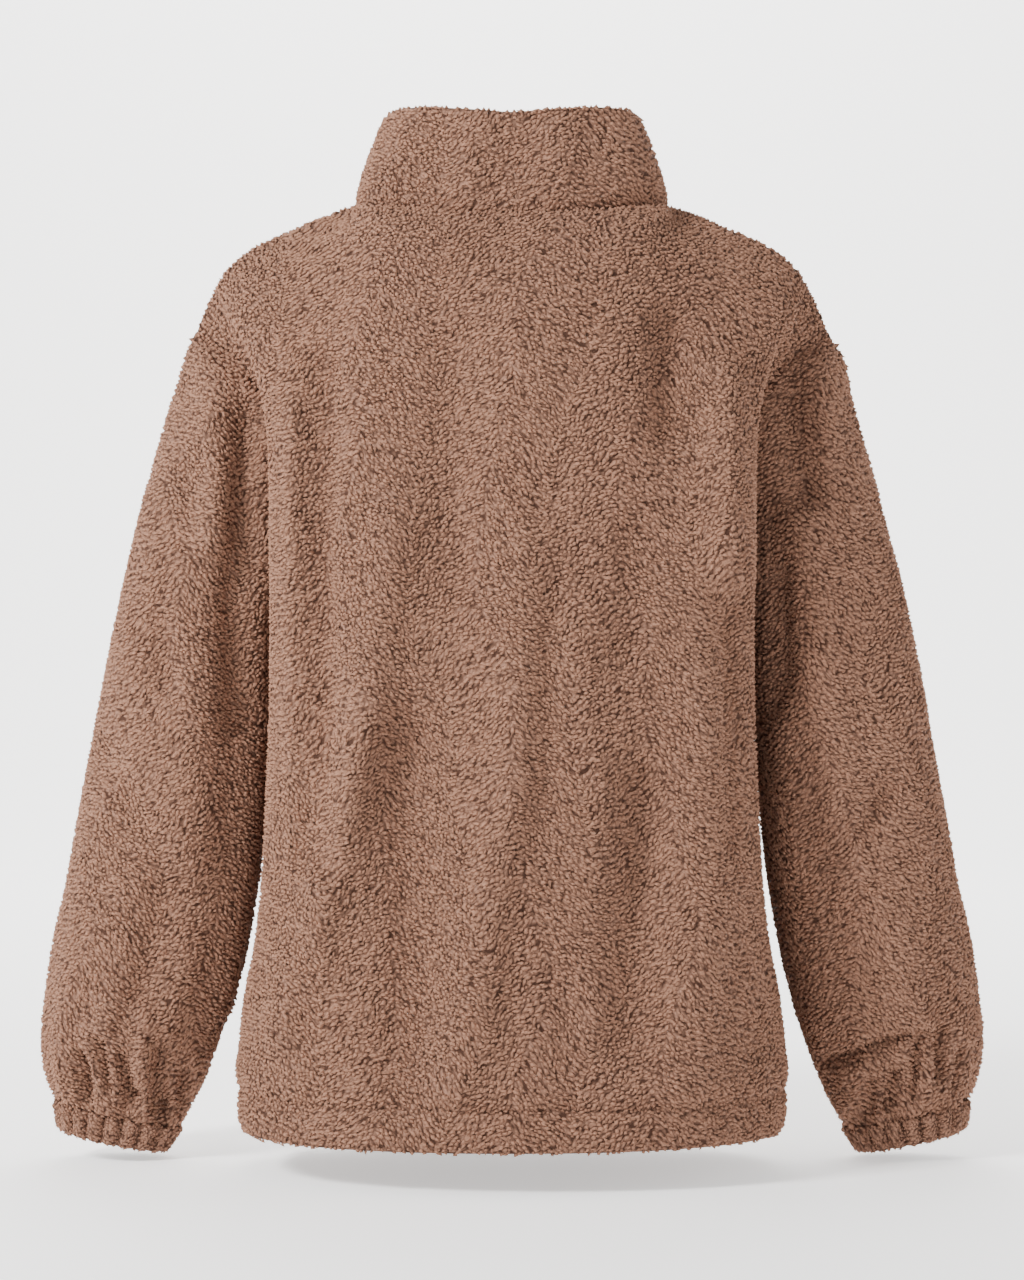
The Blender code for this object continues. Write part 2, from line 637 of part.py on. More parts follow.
def way_in(normals, along, interior):
    """Unit vectors in a surface, square to its seam, toward the piece's interior."""
    ways = unit(np.cross(normals, along))
    return ways * np.sign(np.sum(ways * interior, axis=1, keepdims=True))


def make_body(jacket, finish):
    """The back and the two fronts."""
    outer = both_halves(jacket.back)
    normals = both_halves(jacket.back_normals)
    inner = outer + both_halves(jacket.back_offsets)
    outer = raise_hem(outer, normals)
    gap = both_halves(jacket.back_gap)
    outer, inner = fold_panel(outer, inner, normals, BACK_FOLDS)
    wall("back", outer + gap, inner + gap, finish)
    outer = raise_hem(jacket.front, jacket.front_normals)
    inner = jacket.front + jacket.front_offsets
    outer, inner = fold_panel(outer, inner, jacket.front_normals, FRONT_FOLDS)
    outer, inner = outer + jacket.front_gap, inner + jacket.front_gap
    wall("front_left", outer, inner, finish)
    wall("front_right", mirrored(outer), mirrored(inner), finish)
    return inner


def make_sleeves(jacket, finish):
    """The two sleeves, gathered above the cuffs."""
    outer = jacket.rings.copy()
    inner = outer + jacket.ring_offsets
    gather(outer, inner)
    outer, inner = outer + jacket.ring_gap, inner + jacket.ring_gap
    wall("sleeve_left", outer, inner, finish, closed=True)
    wall("sleeve_right", mirrored(outer), mirrored(inner), finish, closed=True)


def make_cuffs(jacket, finish):
    """The ribbed elastic cuffs, each just below its sleeve."""
    columns = CUFF_RIBS * RIB_COLUMNS
    top, bottom = named(SLEEVE_COLUMNS, [CUFF_TOP]), named(SLEEVE_COLUMNS, [CUFF_BOTTOM])
    ends = []
    for end in (top, bottom):
        outer = np.array([end["outer_x"][0], end["middle_y"][0], end["outer_z"][0]])
        inner = np.array([end["inner_x"][0], end["middle_y"][0], end["inner_z"][0]])
        ends.append(ellipse_ring(outer, inner, end["depth"][0], columns))
    sleeve_end = jacket.rings[-1]
    axis = unit(np.cross(sleeve_end[0] - sleeve_end.mean(axis=0), np.array([0, 1.0, 0])))
    if axis[2] > 0:
        axis = -axis
    ends = [ring + axis * SEAM_GAP for ring in ends]
    ribs = (np.cos(2 * math.pi * np.arange(columns) / RIB_COLUMNS) - 1) / 2 * RIB_HEIGHT
    outer, inner = [], []
    for share, relief in CUFF_ROWS:
        ring = ends[0] + (ends[1] - ends[0]) * share
        normals = in_plane_normals(ring)
        outer.append(ring + normals * (ribs + relief)[:, None])
        inner.append(ring - normals * CUFF_WALL)
    outer, inner = np.stack(outer), np.stack(inner)
    wall("cuff_left", outer, inner, finish, closed=True)
    wall("cuff_right", mirrored(outer), mirrored(inner), finish, closed=True)


def make_collar(jacket, finish):
    """The stand collar: two layers with a rounded top."""
    base, rise, normals = jacket.neck_base, jacket.neck_top - jacket.neck_base, jacket.collar_normals
    outer, inner = [], []
    for share in COLLAR_ROWS:
        swell = normals * COLLAR_SWELL * math.sin(math.pi * share)
        outer.append(base + rise * share + swell)
        inner.append(outer[-1] - normals * COLLAR_WALL)
    inner[0] = base + jacket.collar_offset
    outer[0] = outer[0] + jacket.collar_gap
    inner[0] = inner[0] + jacket.collar_gap
    middle = (outer[-1] + inner[-1]) / 2
    radius = COLLAR_WALL / 2
    for degrees in COLLAR_TURN:
        lift = unit(rise) * radius * math.sin(math.radians(degrees))
        spread_out = normals * radius * math.cos(math.radians(degrees))
        outer.append(middle + spread_out + lift)
        inner.append(middle - spread_out + lift)
    wall("collar", both_halves(np.stack(outer)), both_halves(np.stack(inner)), finish)


def loft(name, sections, finish):
    """A closed bar through sections with the same number of corners."""
    sections = np.stack(sections)
    count = sections.shape[1]
    points = sections.reshape(-1, 3)
    faces = [list(range(count)), list(range(len(points) - count, len(points)))]
    for row in range(len(sections) - 1):
        for corner in range(count):
            after = (corner + 1) % count
            faces.append([row * count + corner, row * count + after,
                          (row + 1) * count + after, (row + 1) * count + corner])
    return add_object(name, points, faces, finish)


def cut_line(line, inward, start, end):
    """The stretch of a line between two lengths along it."""
    lengths = np.concatenate([[0], np.cumsum(np.linalg.norm(np.diff(line, axis=0), axis=1))])
    at = np.concatenate([[start], lengths[(lengths > start + 0.5) & (lengths < end - 0.5)], [end]])
    return tuple(np.stack([np.interp(at, lengths, part[:, axis]) for axis in range(3)], axis=1)
                 for part in (line, inward))


def make_tapes(jacket, front_inner, line, inward, finish):
    """The zip's tapes: behind each front, and only as wide as shows beside the collar's ends."""
    rows = len(jacket.front)
    sections = []
    for row in range(ZIP_BOTTOM_ROW, len(line)):
        near = line[row] + inward[row] * TAPE_DEPTH + np.array([TAPE_INNER_X, 0, 0])
        if row < rows - TAPE_WIDE_ROWS:
            edge, next_in = front_inner[row, -1], front_inner[row, -2]
            share = (TAPE_OUTER_X - edge[0]) / (next_in[0] - edge[0])
            seat = inward[row] * TAPE_SEAT
            behind = [edge + seat, edge + (next_in - edge) * share + seat]
        else:
            away = FRONT_EDGE_X - SEAM_GAP - TAPE_INNER_X
            behind = [near + np.array([away / 2, 0, 0]), near + np.array([away, 0, 0])]
        face = [near] + behind
        back = [point + inward[row] * TAPE_THICK for point in face]
        sections.append(np.array(face + back[::-1]))
    for side, flip in (("left", 1), ("right", -1)):
        loft("zip_tape_" + side, [section * np.array([flip, 1, 1]) for section in sections], finish)


def bar_sections(line, inward, half_width, near, far):
    """Rectangular sections along the zip, between two depths."""
    corners = ((-half_width, near), (half_width, near), (half_width, far), (-half_width, far))
    return [np.array([point + way * depth + np.array([x, 0, 0]) for x, depth in corners])
            for point, way in zip(line, inward)]


def make_chain(line, inward, length, finish):
    """The closed chain, from the retaining box up to the slider. Returns the box's sections."""
    near = TAPE_DEPTH + TAPE_THICK / 2 - CHAIN_THICK / 2
    far = near + CHAIN_THICK
    bottom = length[ZIP_BOTTOM_ROW]
    top = length[-1] - SLIDER["below_top"] - SLIDER["length"]
    chain_start = bottom + BOX_LENGTH + SEAM_GAP
    stretch = cut_line(line, inward, chain_start, top - SEAM_GAP)
    loft("zip_chain", bar_sections(*stretch, CHAIN_HALF, near, far), finish)
    stretch = cut_line(line, inward, bottom, bottom + BOX_LENGTH)
    return bar_sections(*stretch, CHAIN_HALF, near - BOX_EXTRA, far + BOX_EXTRA)


def prism(name, outline, thickness, finish):
    """A flat outline in Y and Z, made as thick as given along X."""
    count = len(outline)
    points = [np.array([x, y, z]) for x in (-thickness / 2, thickness / 2) for y, z in outline]
    faces = [list(range(count)), list(range(count, 2 * count))]
    faces += [[i, (i + 1) % count, count + (i + 1) % count, count + i] for i in range(count)]
    return add_object(name, points, faces, finish)


def slab(name, outline, depth, thickness, finish):
    """A flat outline in X and Z, made as thick as given along Y."""
    count = len(outline)
    points = [np.array([x, y, z]) for y in (depth, depth + thickness) for x, z in outline]
    faces = [list(range(count)), list(range(count, 2 * count))]
    faces += [[i, (i + 1) % count, count + (i + 1) % count, count + i] for i in range(count)]
    return add_object(name, points, faces, finish)


def combine(target, tool, operation):
    """A Boolean of two objects, left on the first one's mesh."""
    cut = target.modifiers.new(tool.name, "BOOLEAN")
    cut.operation = operation
    cut.object = tool
    graph = bpy.context.evaluated_depsgraph_get()
    mesh = bpy.data.meshes.new_from_object(target.evaluated_get(graph))
    target.modifiers.remove(cut)
    target.data = mesh
    bpy.data.objects.remove(tool)


def make_slider(finish):
    """The slider in its own frame: +Z up the zip, -Y out, the pull's axis at the origin."""
    half, long, plate = SLIDER["half_width"], SLIDER["length"], SLIDER["plate"]
    front = BRIDGE["room"] / 2
    gap = TAPE_THICK + 2 * SLIDER["clear"]
    neck = CHAIN_HALF - SLIDER["clear"]
    outline = [(-half, front), (half, front), (half, front + plate), (neck, front + plate),
               (neck, front + plate + gap), (half, front + plate + gap), (half, front + 2 * plate + gap),
               (-half, front + 2 * plate + gap), (-half, front + plate + gap), (-neck, front + plate + gap),
               (-neck, front + plate), (-half, front + plate)]
    count = len(outline)
    points = [np.array([x, y, z]) for z in (-long / 2, long / 2) for x, y in outline]
    faces = [list(range(count)), list(range(count, 2 * count))]
    faces += [[i, (i + 1) % count, count + (i + 1) % count, count + i] for i in range(count)]
    slider = add_object("zip_slider", points, faces, finish)
    reach, thick = BRIDGE["length"] / 2, BRIDGE["thick"]
    foot = front + plate / 2
    arch = [(foot, -reach), (-front - thick * 0.3, -reach), (-front - thick, -reach + thick),
            (-front - thick, reach - thick), (-front - thick * 0.3, reach), (foot, reach),
            (foot, reach - thick), (-front, reach - thick), (-front, -reach + thick), (foot, -reach + thick)]
    bridge = prism("bridge", arch, 2 * BRIDGE["half_width"], finish)
    combine(slider, bridge, "UNION")
    return slider


def make_pull(finish):
    """The pull tab in the slider's frame, hanging down the zip from its eye's bar."""
    bar, eye, rail = PULL["bar"], PULL["eye"], PULL["rail"]
    neck_end = -bar - PULL["eye_length"] - rail
    tab_end = neck_end - PULL["tab_length"]
    half, tab = eye + rail, PULL["tab_half"]
    turns = [math.radians(degrees) for degrees in range(0, 181, 30)]
    rounded = [(tab * math.cos(turn), tab_end + tab - tab * math.sin(turn)) for turn in turns]
    outline = [(half, bar), (half, neck_end)] + rounded + [(-half, neck_end), (-half, bar)]
    pull = slab("zip_pull", outline, -PULL["thick"] / 2, PULL["thick"], finish)
    hole = [(eye, -bar), (eye, -bar - PULL["eye_length"]), (-eye, -bar - PULL["eye_length"]), (-eye, -bar)]
    tool = slab("eye", hole, -PULL["thick"], 2 * PULL["thick"], finish)
    combine(pull, tool, "DIFFERENCE")
    return pull


def make_zip(jacket, front_inner, tape_finish, metal_finish):
    """The closed front zip with its slider at the collar's top."""
    line, inward = jacket.zip_line()
    length = np.concatenate([[0], np.cumsum(np.linalg.norm(np.diff(line, axis=0), axis=1))])
    make_tapes(jacket, front_inner, line, inward, tape_finish)
    box = make_chain(line, inward, length, tape_finish)
    loft("zip_box", box, metal_finish)
    middle = length[-1] - SLIDER["below_top"] - SLIDER["length"] / 2
    place = np.array([np.interp(middle, length, line[:, axis]) for axis in range(3)])
    up = unit(line[-1] - line[-2])
    into = np.cross(up, [1.0, 0, 0])
    depth = TAPE_DEPTH - SLIDER["clear"] - SLIDER["plate"] - BRIDGE["room"] / 2
    pivot = place + into * depth
    turn = Matrix((Vector((1, 0, 0)), Vector(into), Vector(up))).transposed().to_4x4()
    stand = bpy.data.objects.new("pull_axis", None)
    stand.matrix_world = Matrix.Translation(Vector(pivot * MM)) @ turn
    bpy.context.collection.objects.link(stand)
    for piece in (make_slider(metal_finish), make_pull(metal_finish)):
        piece.parent = stand


def main():
    """Builds the jacket."""
    for old in list(bpy.data.objects):
        bpy.data.objects.remove(old)
    pile = material("brown_teddy_fleece", PILE_COLOUR, 0.95)
    rib = material("brown_fleece_binding", RIB_COLOUR, 0.95)
    tape = material("brown_zip_tape", TAPE_COLOUR, 0.8)
    metal = material("painted_metal", METAL_COLOUR, 0.4, 0.8)
    jacket = Jacket()
    front_inner = make_body(jacket, pile)
    make_sleeves(jacket, pile)
    make_cuffs(jacket, rib)
    make_collar(jacket, pile)
    make_zip(jacket, front_inner, tape, metal)


main()
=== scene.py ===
import math

import bpy
import numpy as np
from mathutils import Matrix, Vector


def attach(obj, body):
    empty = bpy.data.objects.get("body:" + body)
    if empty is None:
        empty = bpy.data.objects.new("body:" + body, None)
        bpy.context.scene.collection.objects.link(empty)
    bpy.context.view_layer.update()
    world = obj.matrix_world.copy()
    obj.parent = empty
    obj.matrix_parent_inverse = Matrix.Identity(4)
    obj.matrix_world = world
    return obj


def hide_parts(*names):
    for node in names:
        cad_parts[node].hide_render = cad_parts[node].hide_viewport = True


# A fleece jacket of curly teddy pile, filled out with nobody in it, seen from the back.
# Shapes are worked out in millimetres and turned to metres when a mesh is made.

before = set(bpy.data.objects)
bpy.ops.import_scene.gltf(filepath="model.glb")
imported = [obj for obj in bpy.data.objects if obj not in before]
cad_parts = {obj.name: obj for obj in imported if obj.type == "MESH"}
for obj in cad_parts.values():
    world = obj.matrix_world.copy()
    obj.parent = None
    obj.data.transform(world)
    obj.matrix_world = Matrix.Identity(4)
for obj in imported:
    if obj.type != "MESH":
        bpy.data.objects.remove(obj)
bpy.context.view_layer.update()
bpy.ops.object.select_all(action="DESELECT")
mm = 0.001

# Walls and seams
pileWall = 6.0           # knitted backing and pile together
collarWall = 9.5         # two layers, turned at the top
cuffWall = 5.0
seamGap = 0.3
sharpestMitre = 0.62     # least cosine that a mitred seam is stretched by
armholeMitre = 0.95      # the same at the armhole, whose crease is sharper
# Near the shoulder both walls lie to one side of the armhole's seam, so its mitre could lean either way.
# It leans back at these places round the armhole.
armholeTurned = (5, 6, 29, 30, 31, 32)

# Grids: columns in half a back or one front, and rows beside the armhole
panelColumns = 12
neckColumn = 6
armholeRows = 18
fineSteps = 160

# Body sections from the hem up. edge is the widest point, side the side seam.
bodyColumns = ("z", "edgeX", "edgeY", "sideX", "sideY", "backY", "frontY")
bodySections = (
    (-636, 187.0, 10, 186.0, -6, 130, -115),
    (-606, 188.0, 12, 186.5, -7, 131, -116),
    (-575, 186.7, 15, 183.5, -8, 130, -118),
    (-542, 182.5, 21, 177.0, -8, 128, -120),
    (-508, 175.5, 29, 169.5, -8, 126, -122),
    (-455, 169.4, 40, 162.0, -8, 124, -124),
    (-400, 166.1, 50, 157.0, -8, 123, -126),
    (-345, 163.6, 60, 154.0, -7, 122, -127),
    (-300, 163.0, 66, 153.5, -4, 122, -125),
    (-262, 162.7, 70, 156.0, 0, 122, -122),
)
underarmZ = bodySections[-1][0]
bodyRows = (-575, -542, -508, -468, -428, -388, -348, -312, -284)
bodyRoundness = 0.9

# The hem: height above the edge, and how far the outer points stand out
hemZ = bodySections[0][0]
hemRelief = ((0, -3.0), (4, -0.6), (14, 0.7), (24, 0.0), (28, -2.4), (32, 0.0))

# The shoulder seam from its tip to the neck, and the armhole's two halves from below to the tip
shoulderLine = (
    (221.0, 0, -91), (215.0, 0, -74), (208.0, 0, -57), (195.0, 0, -40), (183.5, 0, -30.5),
    (161.0, 0, -19.5), (136.6, 0, -9), (109.0, 0, 0),
)
armholeBack = (
    (156.0, 0, -262), (154.0, 18, -243), (152.5, 33, -206), (157.0, 39, -165),
    (172.0, 32, -129), (197.0, 18, -106), (221.0, 0, -91),
)
armholeFront = (
    (156.0, 0, -262), (154.0, -19, -244), (153.0, -36, -208), (158.5, -43, -168),
    (174.0, -37, -130), (198.0, -20, -106), (221.0, 0, -91),
)

# The fold that each panel makes beside its armhole: share of the height, then its ridge
ridgeBack = (
    (0.00, 162.7, 70, -262), (0.21, 162.2, 76, -205), (0.39, 163.2, 77, -157),
    (0.50, 166.4, 73, -130), (0.61, 171.7, 66, -103), (0.73, 179.0, 52, -76), (1.00, 181.0, 0, -29),
)
ridgeFront = (
    (0.00, 152.0, -62, -262), (0.25, 155.0, -72, -200), (0.50, 163.0, -70, -134),
    (0.73, 178.0, -48, -76), (1.00, 181.0, 0, -29),
)
ridgeShare = 0.26
ridgeFade = 0.62

# Directions in which each column reaches the top edge: share of the width, then x, y, z
topLeanBack = (
    (0.00, 0.6, -0.60, 0.50), (0.25, 0, -0.92, 0.40), (0.50, 0, -0.95, 0.30), (1.00, 0, -0.75, 0.66),
)
topLeanFront = (
    (0.00, 0.6, 0.60, 0.50), (0.25, 0, 0.92, 0.40), (0.50, 0, 0.95, 0.30), (1.00, 0, 0.35, 0.94),
)

# Evens out the bend below the neck point: rounds, share of each step, and where it fades out
smoothRounds = 14
smoothSteps = (0.50, -0.52)
smoothColumns = (3, 6)
smoothTopRows = 4
smoothFootRows = 5

# Neckline and collar: half width, back and front depth, and heights at back, side and front
neckSize = {"halfWidth": 109.0, "back": 70.0, "front": -80.0, "backZ": -13.0, "frontZ": -68.0, "fall": 1.7}
collarTop = {"halfWidth": 88.0, "back": 55.0, "front": -62.0}
collarTopZ = ((-1.0, -1.0), (-0.6, 25.0), (0.0, 58.0), (0.45, 61.5), (0.75, 58.5), (1.0, 55.5))
neckRoundness = 0.95
collarRowShares = (0.0, 0.33, 0.66, 0.93)
collarTurn = (45, 80)    # the rounded top, in degrees
collarSwell = 2.0
frontEdgeX = 7.0        # each front stops here, beside the zip

# Soft folds across the body: ends, half width, and height of the ridge (a valley is below zero)
foldColumns = ("x0", "z0", "x1", "z1", "halfWidth", "height")
backFolds = (
    (139, -112, 139, -440, 14, -3.2),
    (95, -300, 120, -390, 18, 2.6),
    (120, -390, 137, -560, 18, 3.2),
    (70, -380, 66, -540, 22, -2.8),
    (8, -210, 8, -370, 22, 2.2),
    (10, -370, 34, -580, 20, 3.0),
    (15, -120, 14, -190, 26, -2.0),
    (-97, -112, -100, -180, 22, -2.6),
    (-130, -125, -134, -260, 17, 2.4),
    (-95, -330, -72, -560, 20, -2.8),
    (-128, -330, -108, -590, 18, 2.8),
    (-40, -420, -48, -590, 18, 1.8),
)
frontFolds = (
    (120, -250, 132, -420, 20, -2.6),
    (100, -330, 118, -570, 20, 2.8),
    (62, -380, 70, -560, 22, -2.6),
    (48, -150, 60, -330, 24, 2.0),
)

# Sleeve rings below the armhole: outer and inner edge, depth and middle
sleeveColumns = ("outerX", "outerZ", "innerX", "innerZ", "depth", "middleY")
sleeveSections = (
    (221.0, -91, 156.0, -262, 84, 0),
    (233.0, -126, 158.8, -267, 97, 0),
    (243.0, -160, 161.0, -273, 103, 0),
    (252.3, -195, 162.5, -281, 107, 0),
    (261.0, -232, 163.8, -292, 109, -1),
    (269.5, -268, 164.5, -306, 110, -3),
    (277.8, -305, 165.3, -328, 110, -5),
    (286.0, -345, 167.0, -364, 110, -8),
    (294.7, -388, 170.0, -406, 110, -11),
    (303.0, -430, 174.5, -448, 110, -15),
    (311.0, -472, 181.0, -490, 109, -20),
    (321.0, -512, 188.5, -530, 108, -25),
    (326.6, -546, 197.0, -563, 106, -29),
    (330.3, -575, 206.0, -592, 102, -32),
    (329.6, -597, 214.5, -614, 94, -34),
    (326.0, -612, 222.5, -630, 80, -35),
    (321.3, -622.3, 230.0, -642, 62, -35),
)
armholePull = (1.0, 0.55, 0.26, 0.09, 0.02)
gatherCount = 9
gatherDepth = (0.0, 1.2, 2.8, 4.4, 5.4, 5.0, 3.2)

# Cuffs: top and bottom outlines, and ribs all round
cuffTop = sleeveSections[-1]
cuffBottom = (318.2, -643.2, 241.0, -659.4, 54, -35)
cuffRibs = 18
cuffRows = ((0.0, -1.6), (0.09, 0.0), (0.5, 0.6), (0.91, 0.0), (1.0, -1.6))


def unit(vectors):
    return vectors / np.linalg.norm(vectors, axis=-1, keepdims=True)


def named(columns, rows):
    values = np.array(rows, float)
    return {name: values[:, place] for place, name in enumerate(columns)}


def curveThrough(keys, values, at):
    keys = np.asarray(keys, float)
    values = np.asarray(values, float)
    at = np.atleast_1d(np.asarray(at, float))
    steps = np.diff(keys)
    chords = np.diff(values, axis=0) / steps[:, None]
    weighed = steps[1:, None] * chords[:-1] + steps[:-1, None] * chords[1:]
    inner = weighed / (steps[1:] + steps[:-1])[:, None]
    slopes = np.vstack([chords[:1], inner, chords[-1:]])
    index = np.clip(np.searchsorted(keys, at, side="right") - 1, 0, len(steps) - 1)
    span = steps[index][:, None]
    t = (at - keys[index])[:, None] / span
    return hermite(values[index], slopes[index] * span, values[index + 1], slopes[index + 1] * span, t)


def hermite(start, startSlope, end, endSlope, t):
    return ((2 * t ** 3 - 3 * t ** 2 + 1) * start + (t ** 3 - 2 * t ** 2 + t) * startSlope
            + (3 * t ** 2 - 2 * t ** 3) * end + (t ** 3 - t ** 2) * endSlope)


def spread(points, shares):
    lengths = np.concatenate([[0], np.cumsum(np.linalg.norm(np.diff(points, axis=0), axis=1))])
    at = np.asarray(shares) * lengths[-1]
    return np.stack([np.interp(at, lengths, points[:, axis]) for axis in range(3)], axis=1)


def smoothLine(points, shares):
    points = np.array(points, float)
    keys = np.concatenate([[0], np.cumsum(np.linalg.norm(np.diff(points, axis=0), axis=1))])
    return spread(curveThrough(keys, points, np.linspace(0, keys[-1], fineSteps)), shares)


def ease(t):
    t = np.clip(t, 0, 1)
    return t * t * (3 - 2 * t)


def quarter(start, end, roundness):
    angle = np.linspace(0, math.pi / 2, fineSteps)
    x = start[0] * np.cos(angle).clip(0) ** roundness
    y = start[1] + (end[1] - start[1]) * np.sin(angle) ** roundness
    return x, y


def bodyRow(z, side):
    table = named(bodyColumns, bodySections)
    names = bodyColumns[1:]
    read = curveThrough(table["z"], np.stack([table[name] for name in names], axis=1), z)[0]
    size = dict(zip(names, read))
    if side == "back":
        rise = np.linspace(0, 1, fineSteps)
        sideX = size["sideX"] + (size["edgeX"] - size["sideX"]) * np.sin(rise * math.pi / 2)
        sideY = size["sideY"] + (size["edgeY"] - size["sideY"]) * rise
        arcX, arcY = quarter((size["edgeX"], size["edgeY"]), (0, size["backY"]), bodyRoundness)
        x = np.concatenate([sideX, arcX[1:]])
        y = np.concatenate([sideY, arcY[1:]])
    else:
        x, y = quarter((size["sideX"], size["sideY"]), (0, size["frontY"]), bodyRoundness)
        keep = x >= frontEdgeX
        x, y = np.append(x[keep], frontEdgeX), np.append(y[keep], y[keep][-1])
    line = np.stack([x, y, np.full(len(x), float(z))], axis=1)
    return spread(line, np.linspace(0, 1, panelColumns + 1))


def neckQuarter(size, side, heights):
    # from the shoulder round to the middle of the back, or to the zip; heights gives z at each angle
    angle = np.linspace(0, math.pi / 2, fineSteps)
    x = size["halfWidth"] * np.cos(angle).clip(0) ** neckRoundness
    y = size[side] * np.sin(angle) ** neckRoundness
    line = np.stack([x, y, heights(angle)], axis=1)
    if side == "front":
        line = line[x >= frontEdgeX]
        line[-1, 0] = frontEdgeX
    return spread(line, np.linspace(0, 1, panelColumns - neckColumn + 1))


def neckLine(side):
    return neckQuarter(neckSize, side, lambda angle: neckSize[side + "Z"] * np.sin(angle) ** neckSize["fall"])


def topOfCollar(side):
    table = np.array(collarTopZ)
    way = 1 if side == "back" else -1
    heights = lambda angle: curveThrough(table[:, 0], table[:, 1:], angle / (math.pi / 2) * way)[:, 0]
    return neckQuarter(collarTop, side, heights)


def panel(side):
    shares = np.linspace(0, 1, panelColumns + 1)
    heights = [hemZ + height for height, relief in hemRelief] + list(bodyRows)
    lower = [bodyRow(z, side) for z in heights]
    start = bodyRow(underarmZ, side)
    shoulder = smoothLine(shoulderLine, np.linspace(0, 1, neckColumn + 1))
    end = np.vstack([shoulder, neckLine(side)[1:]])
    reach = np.linalg.norm(end - start, axis=1, keepdims=True)
    lean = np.array(topLeanBack if side == "back" else topLeanFront)
    arrive = unit(curveThrough(lean[:, 0], lean[:, 1:], shares)) * reach
    leave = np.array([0, 0, 1.0]) * reach
    loop = smoothLine(armholeBack if side == "back" else armholeFront, np.linspace(0, 1, armholeRows + 1))
    ridge = np.array(ridgeBack if side == "back" else ridgeFront)
    beside = 1 - ease(shares / ridgeShare)
    past = 1 - ease((shares - ridgeShare) / (ridgeFade - ridgeShare))
    across = np.where(shares < ridgeShare, ease(shares / ridgeShare), past)
    upper = [start]
    for row in range(1, armholeRows):
        rise = row / armholeRows
        line = hermite(start, leave, end, arrive, rise)
        toLoop = loop[row] - line[0]
        toRidge = curveThrough(ridge[:, 0], ridge[:, 1:], rise) - curveThrough(shares, line, ridgeShare)
        upper.append(line + beside[:, None] * toLoop + across[:, None] * toRidge)
    return smoothAcross(np.stack(lower + upper + [end]), len(lower))


def smoothAcross(grid, first):
    rows, columns = np.arange(len(grid)), np.arange(grid.shape[1])
    share = ease((columns - smoothColumns[0]) / (smoothColumns[1] - smoothColumns[0]))[None, :]
    share = share * ease((rows - first) / smoothFootRows)[:, None]
    share = share * ease((rows[-2] - rows) / smoothTopRows)[:, None]
    for step in smoothSteps * smoothRounds:
        meetsItsTwin = abs(grid[0, -1, 0]) < seamGap
        beyond = mirrored(grid[:, -2:-1]) if meetsItsTwin else 2 * grid[:, -1:] - grid[:, -2:-1]
        after = np.concatenate([grid[:, 1:], beyond], axis=1)
        before = np.concatenate([grid[:, :1], grid[:, :-1]], axis=1)
        grid = grid + share[..., None] * step * ((before + after) / 2 - grid)
    return grid


def mirrored(points):
    return points * np.array([-1.0, 1.0, 1.0])


def bothHalves(half):
    return np.concatenate([half, mirrored(half)[:, -2::-1]], axis=1)


def gridNormals(grid, inside, closed=False):
    if closed:
        across = (np.roll(grid, -1, axis=1) - np.roll(grid, 1, axis=1)) / 2
    else:
        across = np.gradient(grid, axis=1)
    normals = unit(np.cross(np.gradient(grid, axis=0), across))
    flip = np.sum(normals * (grid - inside), axis=2).mean() < 0
    return -normals if flip else normals


def mitre(sums, count, wall):
    length = np.linalg.norm(sums, axis=-1, keepdims=True)
    return -sums / length * wall / np.maximum(length / count, sharpestMitre)


def seamAside(points, offsets, toward, closed=False):
    if closed:
        along = np.roll(points, -1, axis=0) - np.roll(points, 1, axis=0)
    else:
        along = np.gradient(points, axis=0)
    aside = unit(np.cross(along, offsets))
    side = np.sign(np.sum(aside * toward, axis=1, keepdims=True))
    return aside * side * seamGap / 2


def sleeveRings():
    half = armholeRows
    table = named(sleeveColumns, sleeveSections)
    loop = np.vstack([
        smoothLine(armholeBack, np.linspace(0, 1, half + 1))[::-1],
        smoothLine(armholeFront, np.linspace(0, 1, half + 1))[1:-1],
    ])
    rings = []
    for k in range(len(sleeveSections)):
        outer = np.array([table["outerX"][k], table["middleY"][k], table["outerZ"][k]])
        inner = np.array([table["innerX"][k], table["middleY"][k], table["innerZ"][k]])
        ring = ellipseRing(outer, inner, table["depth"][k], 2 * half)
        pull = armholePull[k] if k < len(armholePull) else 0
        rings.append(ring * (1 - pull) + loop * pull)
    return np.stack(rings)


def ellipseRing(outer, inner, depth, count):
    angle = np.linspace(0, 2 * math.pi, 4 * fineSteps + 1)[:, None]
    line = (outer + inner) / 2 + (outer - inner) / 2 * np.cos(angle)
    line = line + np.array([0, depth / 2, 0]) * np.sin(angle)
    return spread(line, np.arange(count) / count)


def inPlaneNormals(ring):
    along = np.roll(ring, -1, axis=0) - np.roll(ring, 1, axis=0)
    middle = ring.mean(axis=0)
    plane = unit(np.cross(ring[0] - middle, ring[len(ring) // 4] - middle))
    normals = unit(np.cross(along, plane))
    flip = np.sum(normals * (ring - middle)) < 0
    return -normals if flip else normals


def gather(rings, inner):
    columns = rings.shape[1]
    place = np.arange(columns)
    fold = np.floor((place + 2) * gatherCount / columns)
    uneven = 0.8 + 0.2 * np.sin(2.3 * fold + 0.6)
    valley = (1 - np.cos(2 * math.pi * gatherCount * place / columns)) / 2 * uneven
    first = len(rings) - len(gatherDepth)
    for k, depth in enumerate(gatherDepth):
        inward = -inPlaneNormals(rings[first + k]) * (valley * depth)[:, None]
        rings[first + k] += inward
        inner[first + k] += inward


